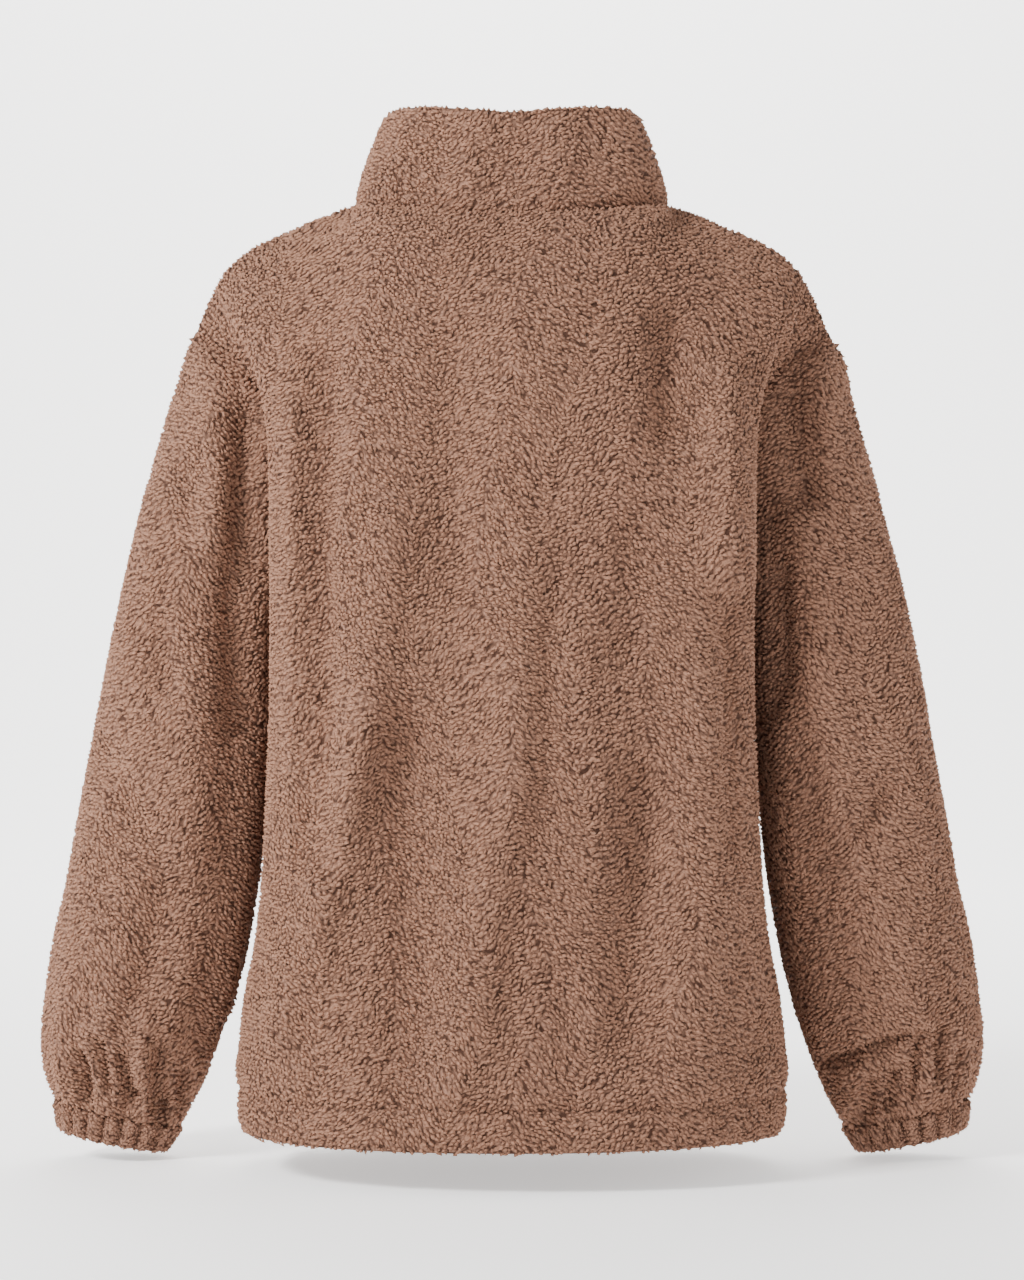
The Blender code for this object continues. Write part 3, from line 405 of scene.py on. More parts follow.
def foldField(points, folds):
    height = np.zeros(points.shape[:2])
    for row in folds:
        fold = dict(zip(foldColumns, row))
        start = np.array([fold["x0"], fold["z0"]])
        run = np.array([fold["x1"], fold["z1"]]) - start
        flat = points[:, :, [0, 2]] - start
        share = np.clip(np.sum(flat * run, axis=2) / np.sum(run * run), 0, 1)
        away = np.linalg.norm(flat - share[..., None] * run, axis=2)
        height += fold["height"] * np.exp(-(away / fold["halfWidth"]) ** 2)
    return height


def foldPanel(outer, inner, normals, folds):
    rows, columns = outer.shape[:2]
    up = np.minimum(np.arange(rows), rows - 1 - np.arange(rows)) / 3
    across = np.minimum(np.arange(columns), columns - 1 - np.arange(columns)) / 2
    edge = ease(up)[:, None] * ease(across)[None, :]
    move = normals * (foldField(outer, folds) * edge)[..., None]
    return outer + move, inner + move


def collarFrame(back, front):
    base = np.vstack([front[-1, :neckColumn - 1:-1], back[-1, neckColumn + 1:]])
    top = np.vstack([topOfCollar("front")[::-1], topOfCollar("back")[1:]])
    whole = bothHalves(np.stack([base, top]))
    normals = unit(np.cross(np.gradient(whole[0], axis=0), unit(whole[1] - whole[0])))
    if np.sum(normals * whole[0]) < 0:
        normals = -normals
    normals = normals[:len(base)]
    normals[0, 0] = 0
    normals[-1, 0] = 0
    return base, top, unit(normals)


class JacketShape:
    def __init__(self):
        self.back, self.front = panel("back"), panel("front")
        self.rings = sleeveRings()
        self.underarm = len(hemRelief) + len(bodyRows)
        self.neckBase, self.neckTop, self.collarNormals = collarFrame(self.back, self.front)
        whole = bothHalves(self.back)
        middle = np.array([0.0, 0.0, -300.0])
        self.backNormals = gridNormals(whole, middle)[:, :panelColumns + 1]
        self.frontNormals = gridNormals(self.front, middle)
        self.frontNormals[:, -1, 0] = 0
        armMiddle = self.rings.mean(axis=1, keepdims=True)
        self.ringNormals = gridNormals(self.rings, armMiddle, closed=True)
        self.ringNormals[-1] = inPlaneNormals(self.rings[-1])
        self.backOffsets = -self.backNormals * pileWall
        self.frontOffsets = -self.frontNormals * pileWall
        self.ringOffsets = -self.ringNormals * pileWall
        self.backGap = np.zeros_like(self.back)
        self.frontGap = np.zeros_like(self.front)
        self.ringGap = np.zeros_like(self.rings)
        self.collarOffset = -self.collarNormals * collarWall
        self.collarGap = np.zeros_like(self.neckBase)
        # the side seams' groove runs one row further up than their mitre
        self.joinBackToFront((slice(0, self.underarm), 0), (slice(0, self.underarm + 1), 0))
        shoulders = (-1, slice(0, neckColumn + 1))
        self.joinBackToFront(shoulders, shoulders)
        self.joinCollar()
        self.joinArmhole()

    def joinBackToFront(self, mitred, parted):
        offsets = mitre(self.backNormals[mitred] + self.frontNormals[mitred], 2, pileWall)
        self.backOffsets[mitred] = offsets
        self.frontOffsets[mitred] = offsets
        backward = np.array([0, seamGap / 2, 0])
        self.backGap[parted] += backward
        self.frontGap[parted] -= backward

    def joinCollar(self):
        turn = panelColumns - neckColumn
        front = self.frontNormals[-1, :neckColumn:-1]
        back = self.backNormals[-1, neckColumn + 1:]
        shoulder = unit(self.backNormals[-1, neckColumn] + self.frontNormals[-1, neckColumn])[None]
        sums = np.vstack([front, shoulder, back]) + self.collarNormals
        sums[[0, -1], 0] = 0
        body = mitre(sums, 2, pileWall)
        self.collarOffset = body * collarWall / pileWall
        self.frontOffsets[-1, :neckColumn - 1:-1] = body[:turn + 1]
        self.backOffsets[-1, neckColumn:] = body[turn:]
        rise = self.neckTop - self.neckBase
        whole = bothHalves(np.stack([self.neckBase, body, rise]))
        gap = seamAside(whole[0], whole[1], whole[2])[:len(body)]
        gap[-1, 0] = 0
        self.collarGap = gap
        self.frontGap[-1, :neckColumn - 1:-1] -= gap[:turn + 1]
        self.backGap[-1, neckColumn:] -= gap[turn:]

    def joinArmhole(self):
        half = armholeRows
        sides = (
            (self.back, self.backNormals, self.backOffsets, self.backGap, np.arange(half, -1, -1)),
            (self.front, self.frontNormals, self.frontOffsets, self.frontGap,
             np.arange(half, 2 * half + 1) % (2 * half)),
        )
        rows = slice(self.underarm, None)
        ring, step = self.rings[0], self.rings[1] - self.rings[0]
        along = unit(np.roll(ring, -1, axis=0) - np.roll(ring, 1, axis=0))
        sleeveNormals = unit(self.ringNormals[0])
        sleeveWay = wayIn(sleeveNormals, along, step)
        sums, toward = np.zeros_like(ring), np.zeros_like(ring)
        cosines, counts = np.zeros((2 * half, 1)), np.zeros((2 * half, 1))
        for outer, normals, offsets, gap, place in sides:
            panelWay = wayIn(normals[rows, 0], along[place], outer.mean(axis=(0, 1)) - outer[rows, 0])
            pair = normals[rows, 0] + sleeveNormals[place]
            crease = panelWay + sleeveWay[place]
            facing = np.sum(crease * pair, axis=1, keepdims=True)
            turned = np.where(np.isin(place, armholeTurned), -1, 1)[:, None]
            hollow = np.where(np.abs(facing) < 1e-9, turned, np.where(facing < 0, -1, 1))
            sums[place] += pair + crease * hollow
            cosines[place] += np.linalg.norm(pair, axis=1, keepdims=True) / 2
            counts[place] += 1
            toward[place] += outer[rows, 1] + offsets[rows, 1] / 2 - outer[rows, 0]
        toward -= (step + self.ringOffsets[1] / 2) * counts
        reach = pileWall / np.maximum(cosines / counts, armholeMitre)
        self.ringOffsets[0] = -unit(sums) * reach
        aside = seamAside(ring, self.ringOffsets[0], toward, closed=True)
        self.ringGap[0] = -aside
        for outer, normals, offsets, gap, place in sides:
            offsets[rows, 0] = self.ringOffsets[0][place]
            gap[rows, 0] += aside[place]

    def zipLine(self):
        rise = self.neckTop[0] - self.neckBase[0]
        collar = [self.neckBase[0] + rise * share for share in collarRowShares[1:]]
        line = np.vstack([self.front[:, -1], collar])
        inward = np.vstack([-self.frontNormals[:, -1], [-self.collarNormals[0]] * len(collar)])
        line[:, 0] = 0
        inward[:, 0] = 0
        return line, unit(inward)


def wayIn(normals, along, interior):
    ways = unit(np.cross(normals, along))
    return ways * np.sign(np.sum(ways * interior, axis=1, keepdims=True))


def lengthKeys(grid, axis, closed=False):
    # mean distance from each row or column to the next, added up
    ends = np.concatenate([grid, grid[:, :1]], axis=1) if closed and axis == 1 else grid
    gaps = np.linalg.norm(np.diff(ends, axis=axis), axis=2).mean(axis=1 - axis)
    return np.concatenate([[0], np.cumsum(gaps)])


def evenSteps(keys, step):
    # places between the keys about one step apart, with every key kept
    counts = [max(1, round(gap / step)) for gap in np.diff(keys)]
    places = [np.linspace(a, b, count, endpoint=False) for a, b, count in zip(keys, keys[1:], counts)]
    return np.concatenate(places + [keys[-1:]])


def refine(grid, rowKeys, columnKeys, rowPlaces, columnPlaces, closed=False):
    # a smooth surface through a coarse grid of points
    rows, columns = grid.shape[:2]
    if closed:
        total = columnKeys[-1]
        keys = np.concatenate([columnKeys[-4:-1] - total, columnKeys, columnKeys[1:4] + total])
        wide = np.concatenate([grid[:, -3:], grid, grid[:, :4]], axis=1)
        places = columnPlaces[:-1]
    else:
        keys, wide, places = columnKeys, grid, columnPlaces
    across = curveThrough(keys, wide.transpose(1, 0, 2).reshape(len(keys), -1), places)
    across = across.reshape(len(places), rows, 3).transpose(1, 0, 2)
    down = curveThrough(rowKeys, across.reshape(rows, -1), rowPlaces)
    return down.reshape(len(rowPlaces), len(places), 3)


def refineWall(outer, inner, step, closed=False):
    rowKeys, columnKeys = lengthKeys(outer, 0), lengthKeys(outer, 1, closed)
    rowPlaces, columnPlaces = evenSteps(rowKeys, step), evenSteps(columnKeys, step)
    return [refine(part, rowKeys, columnKeys, rowPlaces, columnPlaces, closed) for part in (outer, inner)]


def addMesh(name, points, faces, finishes, faceFinish=None):
    mesh = bpy.data.meshes.new(name)
    mesh.from_pydata((points * mm).tolist(), [], faces)
    for finish in finishes:
        mesh.materials.append(finish)
    if faceFinish is not None:
        mesh.polygons.foreach_set("material_index", np.asarray(faceFinish, dtype=np.int32))
    mesh.shade_smooth()
    mesh.update()
    made = bpy.data.objects.new(name, mesh)
    bpy.context.collection.objects.link(made)
    return made


def facesOut(made):
    # a closed mesh whose volume is below zero is inside out
    mesh = made.data
    mesh.calc_loop_triangles()
    points = np.array([tuple(vertex.co) for vertex in mesh.vertices])
    corners = points[np.array([tuple(triangle.vertices) for triangle in mesh.loop_triangles])]
    volume = np.sum(corners[:, 0] * np.cross(corners[:, 1], corners[:, 2])) / 6
    if volume < 0:
        mesh.flip_normals()
    return made


def cloth(name, outer, inner, finishes, closed=False):
    # a closed thin shell between two fine grids of points
    rows, columns = outer.shape[:2]
    points = np.vstack([outer.reshape(-1, 3), inner.reshape(-1, 3)])
    out = np.arange(rows * columns).reshape(rows, columns)
    into = out + rows * columns
    if closed:
        out, into = np.hstack([out, out[:, :1]]), np.hstack([into, into[:, :1]])
    outside = np.stack([out[:-1, :-1], out[:-1, 1:], out[1:, 1:], out[1:, :-1]], axis=2).reshape(-1, 4)
    inside = np.stack([into[:-1, :-1], into[1:, :-1], into[1:, 1:], into[:-1, 1:]], axis=2).reshape(-1, 4)
    rims = [np.stack([out[0, 1:], out[0, :-1], into[0, :-1], into[0, 1:]], axis=1),
            np.stack([out[-1, :-1], out[-1, 1:], into[-1, 1:], into[-1, :-1]], axis=1)]
    if not closed:
        rims += [np.stack([out[:-1, 0], out[1:, 0], into[1:, 0], into[:-1, 0]], axis=1),
                 np.stack([out[1:, -1], out[:-1, -1], into[:-1, -1], into[1:, -1]], axis=1)]
    faces = np.vstack([outside, inside] + rims)
    faceFinish = np.ones(len(faces), dtype=np.int32)
    faceFinish[:len(outside)] = 0
    faceFinish[len(outside) + len(inside):] = 0
    shell = addMesh(name, points, faces.tolist(), finishes, faceFinish)
    addNap(shell.data, points, pileLook)
    return facesOut(shell)


def ways(grid, axis, closed=False):
    # millimetres along the grid from its first edge, and from its last
    steps = np.linalg.norm(np.diff(grid, axis=axis), axis=2)
    pad = np.zeros_like(np.take(steps, [0], axis=axis))
    first = np.concatenate([pad, np.cumsum(steps, axis=axis)], axis=axis)
    return first, np.take(first, [-1], axis=axis) - first


def seamEdges(outer, inner, look, edges):
    # rolls the cloth in beside the named edges, so that a groove shows along each seam
    rows, columns = ways(outer, 0), ways(outer, 1) if "side" in edges or "end" in edges else (0, 0)
    gaps = {"foot": rows[0], "top": rows[1], "side": columns[0], "end": columns[1]}
    inward = unit(inner - outer)
    depth = sum(np.exp(-(gaps[edge] / look["reach"]) ** 2) * size for edge, size in edges.items())
    return outer + inward * np.minimum(depth, look["most"])[..., None], inner


def creaseField(points, folds):
    # where two stretches of one fold meet, the greater counts, so that its height stays even
    heights = [foldField(points, [row]) for row in folds]
    return np.max(heights, axis=0).clip(0) + np.min(heights, axis=0).clip(max=0)


def creased(outer, inner, folds, middle, closed=False, facing=0):
    # soft folds laid one by one; facing keeps them to the back (1) or the front (-1) of a tube
    normals = gridNormals(outer, middle, closed)
    look = creaseLook
    height = creaseField(outer + [look["shift"], 0, 0], folds) * look["depth"]
    height = height.clip(look["lowest"], look["highest"])
    if facing:
        height = height * ease((normals[..., 1] * facing - look["turnFrom"]) / look["turnOver"])
    if not closed:
        rows, columns = ways(outer, 0), ways(outer, 1)
        near = np.minimum(np.minimum(rows[0], rows[1]), np.minimum(columns[0], columns[1]))
        height = height * ease(near / look["edgeFade"])
    else:
        fromTop, fromFoot = ways(outer, 0)
        height = height * ease(fromTop / look["topFade"])
        height = height * ease((fromFoot + look["footRest"]) / look["topFade"])
    move = normals * height[..., None]
    return outer + move, inner + move


# The pile's locks: one low curl, bent and turned for each place
lockShape = {
    "waist": 0.52,       # where it is widest, as a share of its length
    "rootDrop": 0.9,     # millimetres below the cloth, for height 1
    "tipLift": 0.6,
    "crown": 1.15,
    "edge": -0.25,
    "rootShare": 0.45,
    "tipBend": 0.5,      # how far the tip swings back, as a share of the curl
    "sizes": (0.75, 1.25), "lengths": (0.75, 1.3), "widths": (0.85, 1.15), "heights": (0.7, 1.3),
    "paintedLightShares": (0.0, 0.15, 1.0, 0.15, 0.75),    # root, ring and tip: how much painted light each is given; the rest is painted shade
}

# How the nap lies. Waves bend its rows: millimetres, the lengths in z, y and x that each turns over, and
# where it starts
napLook = {
    "aroundShare": 0.4,
    "partings": ((20, 83, math.inf, math.inf, 1.3), (6, 31, math.inf, 71, 0), (2.5, 17, -29, 40, 0)),
    "rows": ((1.6, 13, math.inf, 9, 0), (1.1, -7.7, 6, 5.1, 0)),
    "probe": 0.2,        # the small step by which the rows' slope is measured
}


def scatter(surface, spacing, seed, closed=False):
    # random places on a surface, none nearer to another than the spacing
    chance = np.random.default_rng(seed)
    grid = np.concatenate([surface, surface[:, :1]], axis=1) if closed else surface
    a, b, c, d = grid[:-1, :-1], grid[:-1, 1:], grid[1:, 1:], grid[1:, :-1]
    areas = np.linalg.norm(np.cross(c - a, d - b), axis=2).ravel() / 2
    total = areas.sum()
    count = int(total / spacing ** 2 * 5)
    cells = np.searchsorted(np.cumsum(areas) / total, chance.random(count))
    cells = cells.clip(0, len(areas) - 1)
    rows, columns = np.divmod(cells, grid.shape[1] - 1)
    u, v = chance.random((2, count, 1))
    corner = [part[rows, columns] for part in (a, b, c, d)]
    points = (corner[0] * (1 - u) + corner[1] * u) * (1 - v) + (corner[3] * (1 - u) + corner[2] * u) * v
    down = unit((corner[3] + corner[2]) - (corner[0] + corner[1]))
    normals = unit(np.cross(corner[2] - corner[0], corner[3] - corner[1]))
    taken = {}
    keep = []
    keys = np.floor(points / spacing).astype(int)
    near = [(x, y, z) for x in (-1, 0, 1) for y in (-1, 0, 1) for z in (-1, 0, 1)]
    limit = spacing * spacing
    plain = points.tolist()
    for index, key in enumerate(keys.tolist()):
        px, py, pz = plain[index]
        free = True
        for x, y, z in near:
            for other in taken.get((key[0] + x, key[1] + y, key[2] + z), ()):
                ox, oy, oz = plain[other]
                if (px - ox) ** 2 + (py - oy) ** 2 + (pz - oz) ** 2 < limit:
                    free = False
                    break
            if not free:
                break
        if free:
            taken.setdefault(tuple(key), []).append(index)
            keep.append(index)
    keep = np.array(keep)
    return points[keep], normals[keep], down[keep]


def napWaves(points, waves):
    x, y, z = points.T
    return sum(size * np.sin(z / tall + y / deep + x / wide + start)
               for size, tall, deep, wide, start in waves)


def napHeight(points, look):
    # rows of curls lie level in this height: they run aslant, and turn where the nap parts
    x, y, z = points.T
    around = x + np.sign(x) * np.abs(y) * napLook["aroundShare"]
    phase = (around + napWaves(points, napLook["partings"])) / look["ridgeSpacing"]
    turn = np.abs(phase - np.floor(phase) - 0.5) * look["ridgeSpacing"] * look["slope"]
    return z + turn + napWaves(points, napLook["rows"])


def napSlope(points, look):
    # which way the height above rises, by small steps
    here = napHeight(points, look)
    probe = napLook["probe"]
    steps = [napHeight(points + np.eye(3)[axis] * probe, look) - here for axis in range(3)]
    return here, np.stack(steps, axis=1) / probe


def pile(name, surface, look, finish, seed, toward=1.0, closed=False, trim=None):
    # curly locks all over a piece of cloth, as one mesh of closed low shapes
    points, normals, down = scatter(surface, look["spacing"], seed, closed)
    chance = np.random.default_rng(seed + 100)    # apart from the places' own draws
    count = len(points)
    outward = np.sum(normals * (points - look["inside"](points)), axis=1, keepdims=True)
    normals = normals * np.sign(outward)
    down = unit(down * toward - normals * np.sum(down * toward * normals, axis=1, keepdims=True))
    height, rise = napSlope(points, look)
    rise = rise - normals * np.sum(rise * normals, axis=1, keepdims=True)
    steep = np.sum(rise * rise, axis=1).clip(0.3)
    astray = np.round(height / look["row"]) * look["row"] - height
    points = points + rise * (astray * look["ordered"] / steep)[:, None]
    row = unit(np.cross(normals, rise) + down * 1e-3)
    row = row * np.sign(np.sum(row * down, axis=1, keepdims=True) + 1e-6)
    angle = chance.normal(0, look["strayAngle"], count)
    along = row * np.cos(angle)[:, None] + np.cross(row, normals) * np.sin(angle)[:, None]
    across = np.cross(along, normals)
    size = chance.uniform(*lockShape["sizes"], count)
    length = look["length"] * size * chance.uniform(*lockShape["lengths"], count)
    width = look["width"] * size * chance.uniform(*lockShape["widths"], count)
    height = look["height"] * chance.uniform(*lockShape["heights"], count)
    if trim is not None:
        length = length * trim(points)
    curl = look["curl"] * chance.normal(0, 1, count)

    def at(share, lift, aside):
        return (points + along * ((share - lockShape["rootShare"]) * length)[:, None]
                + normals * (lift * height)[:, None] + across * aside[:, None])

    still = np.zeros(count)
    waist = lockShape["waist"]
    shape = np.stack([
        at(0.0, -lockShape["rootDrop"], still), at(waist, lockShape["edge"], curl - width / 2),
        at(waist, lockShape["crown"], curl), at(waist, lockShape["edge"], curl + width / 2),
        at(1.0, lockShape["tipLift"], -curl * lockShape["tipBend"]),
    ], axis=1)
    corners = shape.shape[1]
    triangles = [(0, 1 + (k + 1) % 3, 1 + k) for k in range(3)]
    triangles += [(1 + k, 1 + (k + 1) % 3, corners - 1) for k in range(3)]
    faces = (np.array(triangles)[None] + (np.arange(count) * corners)[:, None, None]).reshape(-1, 3)
    mesh = bpy.data.meshes.new(name)
    mesh.vertices.add(count * corners)
    mesh.vertices.foreach_set("co", (shape.reshape(-1, 3) * mm).ravel())
    mesh.loops.add(faces.size)
    mesh.loops.foreach_set("vertex_index", faces.ravel().astype(np.int32))
    mesh.polygons.add(len(faces))
    mesh.polygons.foreach_set("loop_start", np.arange(0, faces.size, 3, dtype=np.int32))
    mesh.polygons.foreach_set("use_smooth", np.ones(len(faces), dtype=bool))
    # each lock's corners carry where along it they lie and how much painted light or shade they get, and each
    # lock a random tone of its own
    values = {
        "lockAlong": np.tile([0.0, waist, waist, waist, 1.0], count),
        "lockPaintedLight": np.tile(lockShape["paintedLightShares"], count),
        "lockTone": np.repeat(chance.random(count), corners),
    }
    for title, numbers in values.items():
        mesh.attributes.new(title, "FLOAT", "POINT").data.foreach_set("value", numbers.astype(np.float32))
    addNap(mesh, shape.reshape(-1, 3), look)
    mesh.materials.append(finish)
    mesh.update(calc_edges=True)
    mesh.validate()
    made = bpy.data.objects.new(name, mesh)
    bpy.context.collection.objects.link(made)
    print("  ", name, count, "locks,", len(faces), "triangles")
    return facesOut(made)


def addNap(mesh, points, look):
    # places for the curls' pattern, level along the rows
    x, y, z = points.T
    places = np.stack([x, y, napHeight(points, look)], axis=1) * mm
    attribute = mesh.attributes.new("napPlace", "FLOAT_VECTOR", "POINT")
    attribute.data.foreach_set("vector", places.astype(np.float32).ravel())


def colour(text):
    # an sRGB hex value as linear light
    parts = [int(text[place:place + 2], 16) / 255 for place in (1, 3, 5)]
    return [part / 12.92 if part < 0.04045 else ((part + 0.055) / 1.055) ** 2.4 for part in parts] + [1.0]


def node(finish, kind, settings=None, links=None):
    # adds a node; settings are its own values or its sockets' values, links go into its sockets
    made = finish.node_tree.nodes.new(kind)
    for title, value in (settings or {}).items():
        if isinstance(title, str) and hasattr(made, title):
            setattr(made, title, value)
        else:
            made.inputs[title].default_value = value
    for title, source in (links or {}).items():
        finish.node_tree.links.new(source, made.inputs[title])
    return made


def newFinish(name, settings):
    finish = bpy.data.materials.new(name)
    finish.use_nodes = True
    shader = finish.node_tree.nodes["Principled BSDF"]
    for title, value in settings.items():
        shader.inputs[title].default_value = value
    return finish, shader


# tip, middle and root: the locks' colour ramp, from the light painted on their crowns and tips down to the
# shade painted at their roots
pileLook = {
    "tip": "#98705b", "middle": "#6e4b3b", "shadedRoot": "#24150f",
    "spacing": 2.4, "length": 6.0, "width": 3.75, "height": 1.6, "curl": 0.6, "strayAngle": 0.27,
    "ridgeSpacing": 92.0, "slope": 0.64, "row": 3.1, "ordered": 0.7,
    "inside": lambda points: points * 0,
}
# top and crease: the curls' colour and the shade painted in the creases between them; darkest: how dark the
# painted crease shade makes the locks
curlLook = {
    "spacing": 2.6, "stretch": 1.3, "drift": 0.0035, "bump": 1.5, "bumpShare": 0.4,
    "top": "#8f6b59", "crease": "#402a20", "creaseShadeDarkest": 0.75,
}


def curlPattern(finish):
    # small curls packed side by side, about 3 mm apart so that they still show, longer along the nap
    place = node(finish, "ShaderNodeAttribute", {"attribute_name": "napPlace"}).outputs["Vector"]
    drift = node(finish, "ShaderNodeTexNoise", {"Scale": 160.0, "Detail": 1.0}, {"Vector": place})
    bent = node(finish, "ShaderNodeVectorMath", {"operation": "MULTIPLY_ADD", 1: [curlLook["drift"]] * 3},
                {0: drift.outputs["Color"], 2: place})
    long = node(finish, "ShaderNodeMapping", {"Scale": (1 / curlLook["stretch"], 0.8, 1.0)},
                {"Vector": bent.outputs[0]})
    return node(finish, "ShaderNodeTexVoronoi", {"Scale": 1000 / curlLook["spacing"]},
                {"Vector": long.outputs[0]})


def pileFinish():
    # polyester sherpa fleece, knitted long and tumbled to curls: matt, with dark shade painted into the
    # creases between the curls and light painted on their crowns
    finish, shader = newFinish("polyester_sherpa_fleece", {
        "Roughness": 0.92, "Specular IOR Level": 0.2, "Sheen Weight": 0.04, "Sheen Roughness": 0.4,
        "Sheen Tint": colour("#c9a48e"),
    })
    links = finish.node_tree.links
    # painted light and shade: each lock is dark at its root and edges and light on its crown and tip, as
    # light falls on it; its own random tone is mixed in
    along = node(finish, "ShaderNodeAttribute", {"attribute_name": "lockAlong"}).outputs["Fac"]
    crown = node(finish, "ShaderNodeAttribute", {"attribute_name": "lockPaintedLight"}).outputs["Fac"]
    tone = node(finish, "ShaderNodeAttribute", {"attribute_name": "lockTone"}).outputs["Fac"]
    height = node(finish, "ShaderNodeMath", {"operation": "MULTIPLY_ADD", 1: 0.35}, {0: along, 2: crown})
    lightAndTone = node(finish, "ShaderNodeMath", {"operation": "MULTIPLY_ADD", 1: 0.3},
                 {0: tone, 2: height.outputs[0]})
    ramp = node(finish, "ShaderNodeValToRGB", {}, {"Fac": lightAndTone.outputs[0]})
    stops = ramp.color_ramp.elements
    stops[0].position, stops[0].color = 0.05, colour(pileLook["shadedRoot"])
    stops[1].position, stops[1].color = 1.0, colour(pileLook["tip"])
    middle = stops.new(0.45)
    middle.color = colour(pileLook["middle"])
    curls = curlPattern(finish)
    # painted shade: the locks grow darker toward the edge of each curl's cell, where the creases between
    # curls lie in shade
    creases = node(finish, "ShaderNodeMapRange", {
        "From Min": 0.35, "From Max": 0.75, "To Min": 1.0, "To Max": curlLook["creaseShadeDarkest"],
    }, {"Value": curls.outputs["Distance"]})
    shaded = node(finish, "ShaderNodeVectorMath", {"operation": "SCALE"},
                  {0: ramp.outputs["Color"], "Scale": creases.outputs["Result"]})
    links.new(shaded.outputs[0], shader.inputs["Base Color"])
    bump = node(finish, "ShaderNodeBump", {
        "Strength": curlLook["bumpShare"], "Distance": curlLook["bump"] * mm, "invert": True,
    }, {"Height": curls.outputs["Distance"]})
    links.new(bump.outputs["Normal"], shader.inputs["Normal"])
    return finish


def rootFinish():
    # the same fleece down between the locks: shorter curls, with less light on them
    finish, shader = newFinish("sherpa_fleece_roots", {"Roughness": 0.95, "Specular IOR Level": 0.2})
    links = finish.node_tree.links
    curls = curlPattern(finish)
    # painted shade: the colour runs from the curls' tops down to the shaded creases between them
    ramp = node(finish, "ShaderNodeValToRGB", {}, {"Fac": curls.outputs["Distance"]})
    stops = ramp.color_ramp.elements
    stops[0].position, stops[0].color = 0.15, colour(curlLook["top"])
    stops[1].position, stops[1].color = 0.75, colour(curlLook["crease"])
    links.new(ramp.outputs["Color"], shader.inputs["Base Color"])
    bump = node(finish, "ShaderNodeBump", {
        "Strength": curlLook["bumpShare"], "Distance": curlLook["bump"] * mm, "invert": True,
    }, {"Height": curls.outputs["Distance"]})
    links.new(bump.outputs["Normal"], shader.inputs["Normal"])
    return finish


backingLook = {"dark": "#7a5b4c", "light": "#96705d", "flecks": 650.0, "bump": 0.4}


def backingFinish():
    # brushed jersey backing on the inside, matted to a nap of flecks about 1.5 mm apart
    finish, shader = newFinish("brushed_jersey_backing", {"Roughness": 0.9, "Sheen Weight": 0.1})
    links = finish.node_tree.links
    place = node(finish, "ShaderNodeTexCoord").outputs["Object"]
    flecks = node(finish, "ShaderNodeTexNoise", {"Scale": backingLook["flecks"], "Detail": 2.0},
                  {"Vector": place})
    ramp = node(finish, "ShaderNodeValToRGB", {}, {"Fac": flecks.outputs["Fac"]})
    ramp.color_ramp.elements[0].color = colour(backingLook["dark"])
    ramp.color_ramp.elements[1].color = colour(backingLook["light"])
    links.new(ramp.outputs["Color"], shader.inputs["Base Color"])
    bump = node(finish, "ShaderNodeBump", {"Strength": 0.4, "Distance": backingLook["bump"] * mm},
                {"Height": flecks.outputs["Fac"]})
    links.new(bump.outputs["Normal"], shader.inputs["Normal"])
    return finish


shape = JacketShape()
curls = pileFinish()
finishes = [rootFinish(), backingFinish()]
made = {}


def raiseHem(outer, normals):
    # the turned hem's rounded edge and its stitched groove
    raised = outer.copy()
    for row, (height, relief) in enumerate(hemRelief):
        raised[row] += normals[row] * relief
    return raised


# Where the locks are trimmed: lengths are shares of a lock's own, reaches are millimetres
hemLook = {
    "stitchZ": hemZ + 28, "stitchReach": 3.0, "stitchShorter": 0.3,
    "edgeReach": 9.0, "edgeLength": 0.55, "zipReach": 8.0, "zipLength": 0.5,
}


def sunk(outer, inner, depth, wall):
    # the cloth's own face, down below the pile's tips
    return outer + (inner - outer) * (depth / wall)


clothLook = {"step": 4.6, "pileDepth": 1.5}
seamLook = {"reach": 4.2, "most": 3.4}
# How far the cloth is drawn in at each edge that is a seam
seamRolls = {
    "back": {"top": 2.0, "side": 1.3, "end": 1.3}, "front": {"top": 2.0, "side": 1.3, "end": 1.2},
    "sleeve": {"foot": 1.2, "top": 0.4}, "collar": {"foot": 2.2},
}
bodyInside = np.array([0.0, 0.0, -300.0])


def refineCloth(outer, inner, wall, closed=False):
    sunken = sunk(outer, inner, clothLook["pileDepth"], wall)
    return refineWall(sunken, inner, clothLook["step"], closed=closed)


def hungPanel(outer, inner, normals, gap, folds, creases, rolls):
    # a panel with its hem, its broad folds, its creases and the rolled edges of its seams
    outer, inner = foldPanel(raiseHem(outer, normals), inner, normals, folds)
    outer, inner = refineCloth(outer + gap, inner + gap, pileWall)
    return seamEdges(*creased(outer, inner, creases, bodyInside), seamLook, rolls)


def foldsLike(folds, share, side=1):
    # the same folds at a share of their height, on the other side of the jacket where side is -1
    return [(side * x, z, side * endX, endZ, wide, high * share) for x, z, endX, endZ, wide, high in folds]


# the key light shows each fold a little to its own side, which the shift makes up for
creaseLook = {
    "depth": 3.0, "lowest": -12.0, "highest": 13.0, "shift": 9.0,
    "sleeve": 0.9, "hidden": 0.8,           # shares of the height on a sleeve, and on its hidden side
    "edgeFade": 14.0,                       # millimetres over which folds die out toward a panel's edges
    "topFade": 10.0, "footRest": 5.0,       # the same at a sleeve's ends; some height is left at the cuff
    "turnFrom": 0.08, "turnOver": 0.5,      # how far the cloth has turned to the back where they start
}
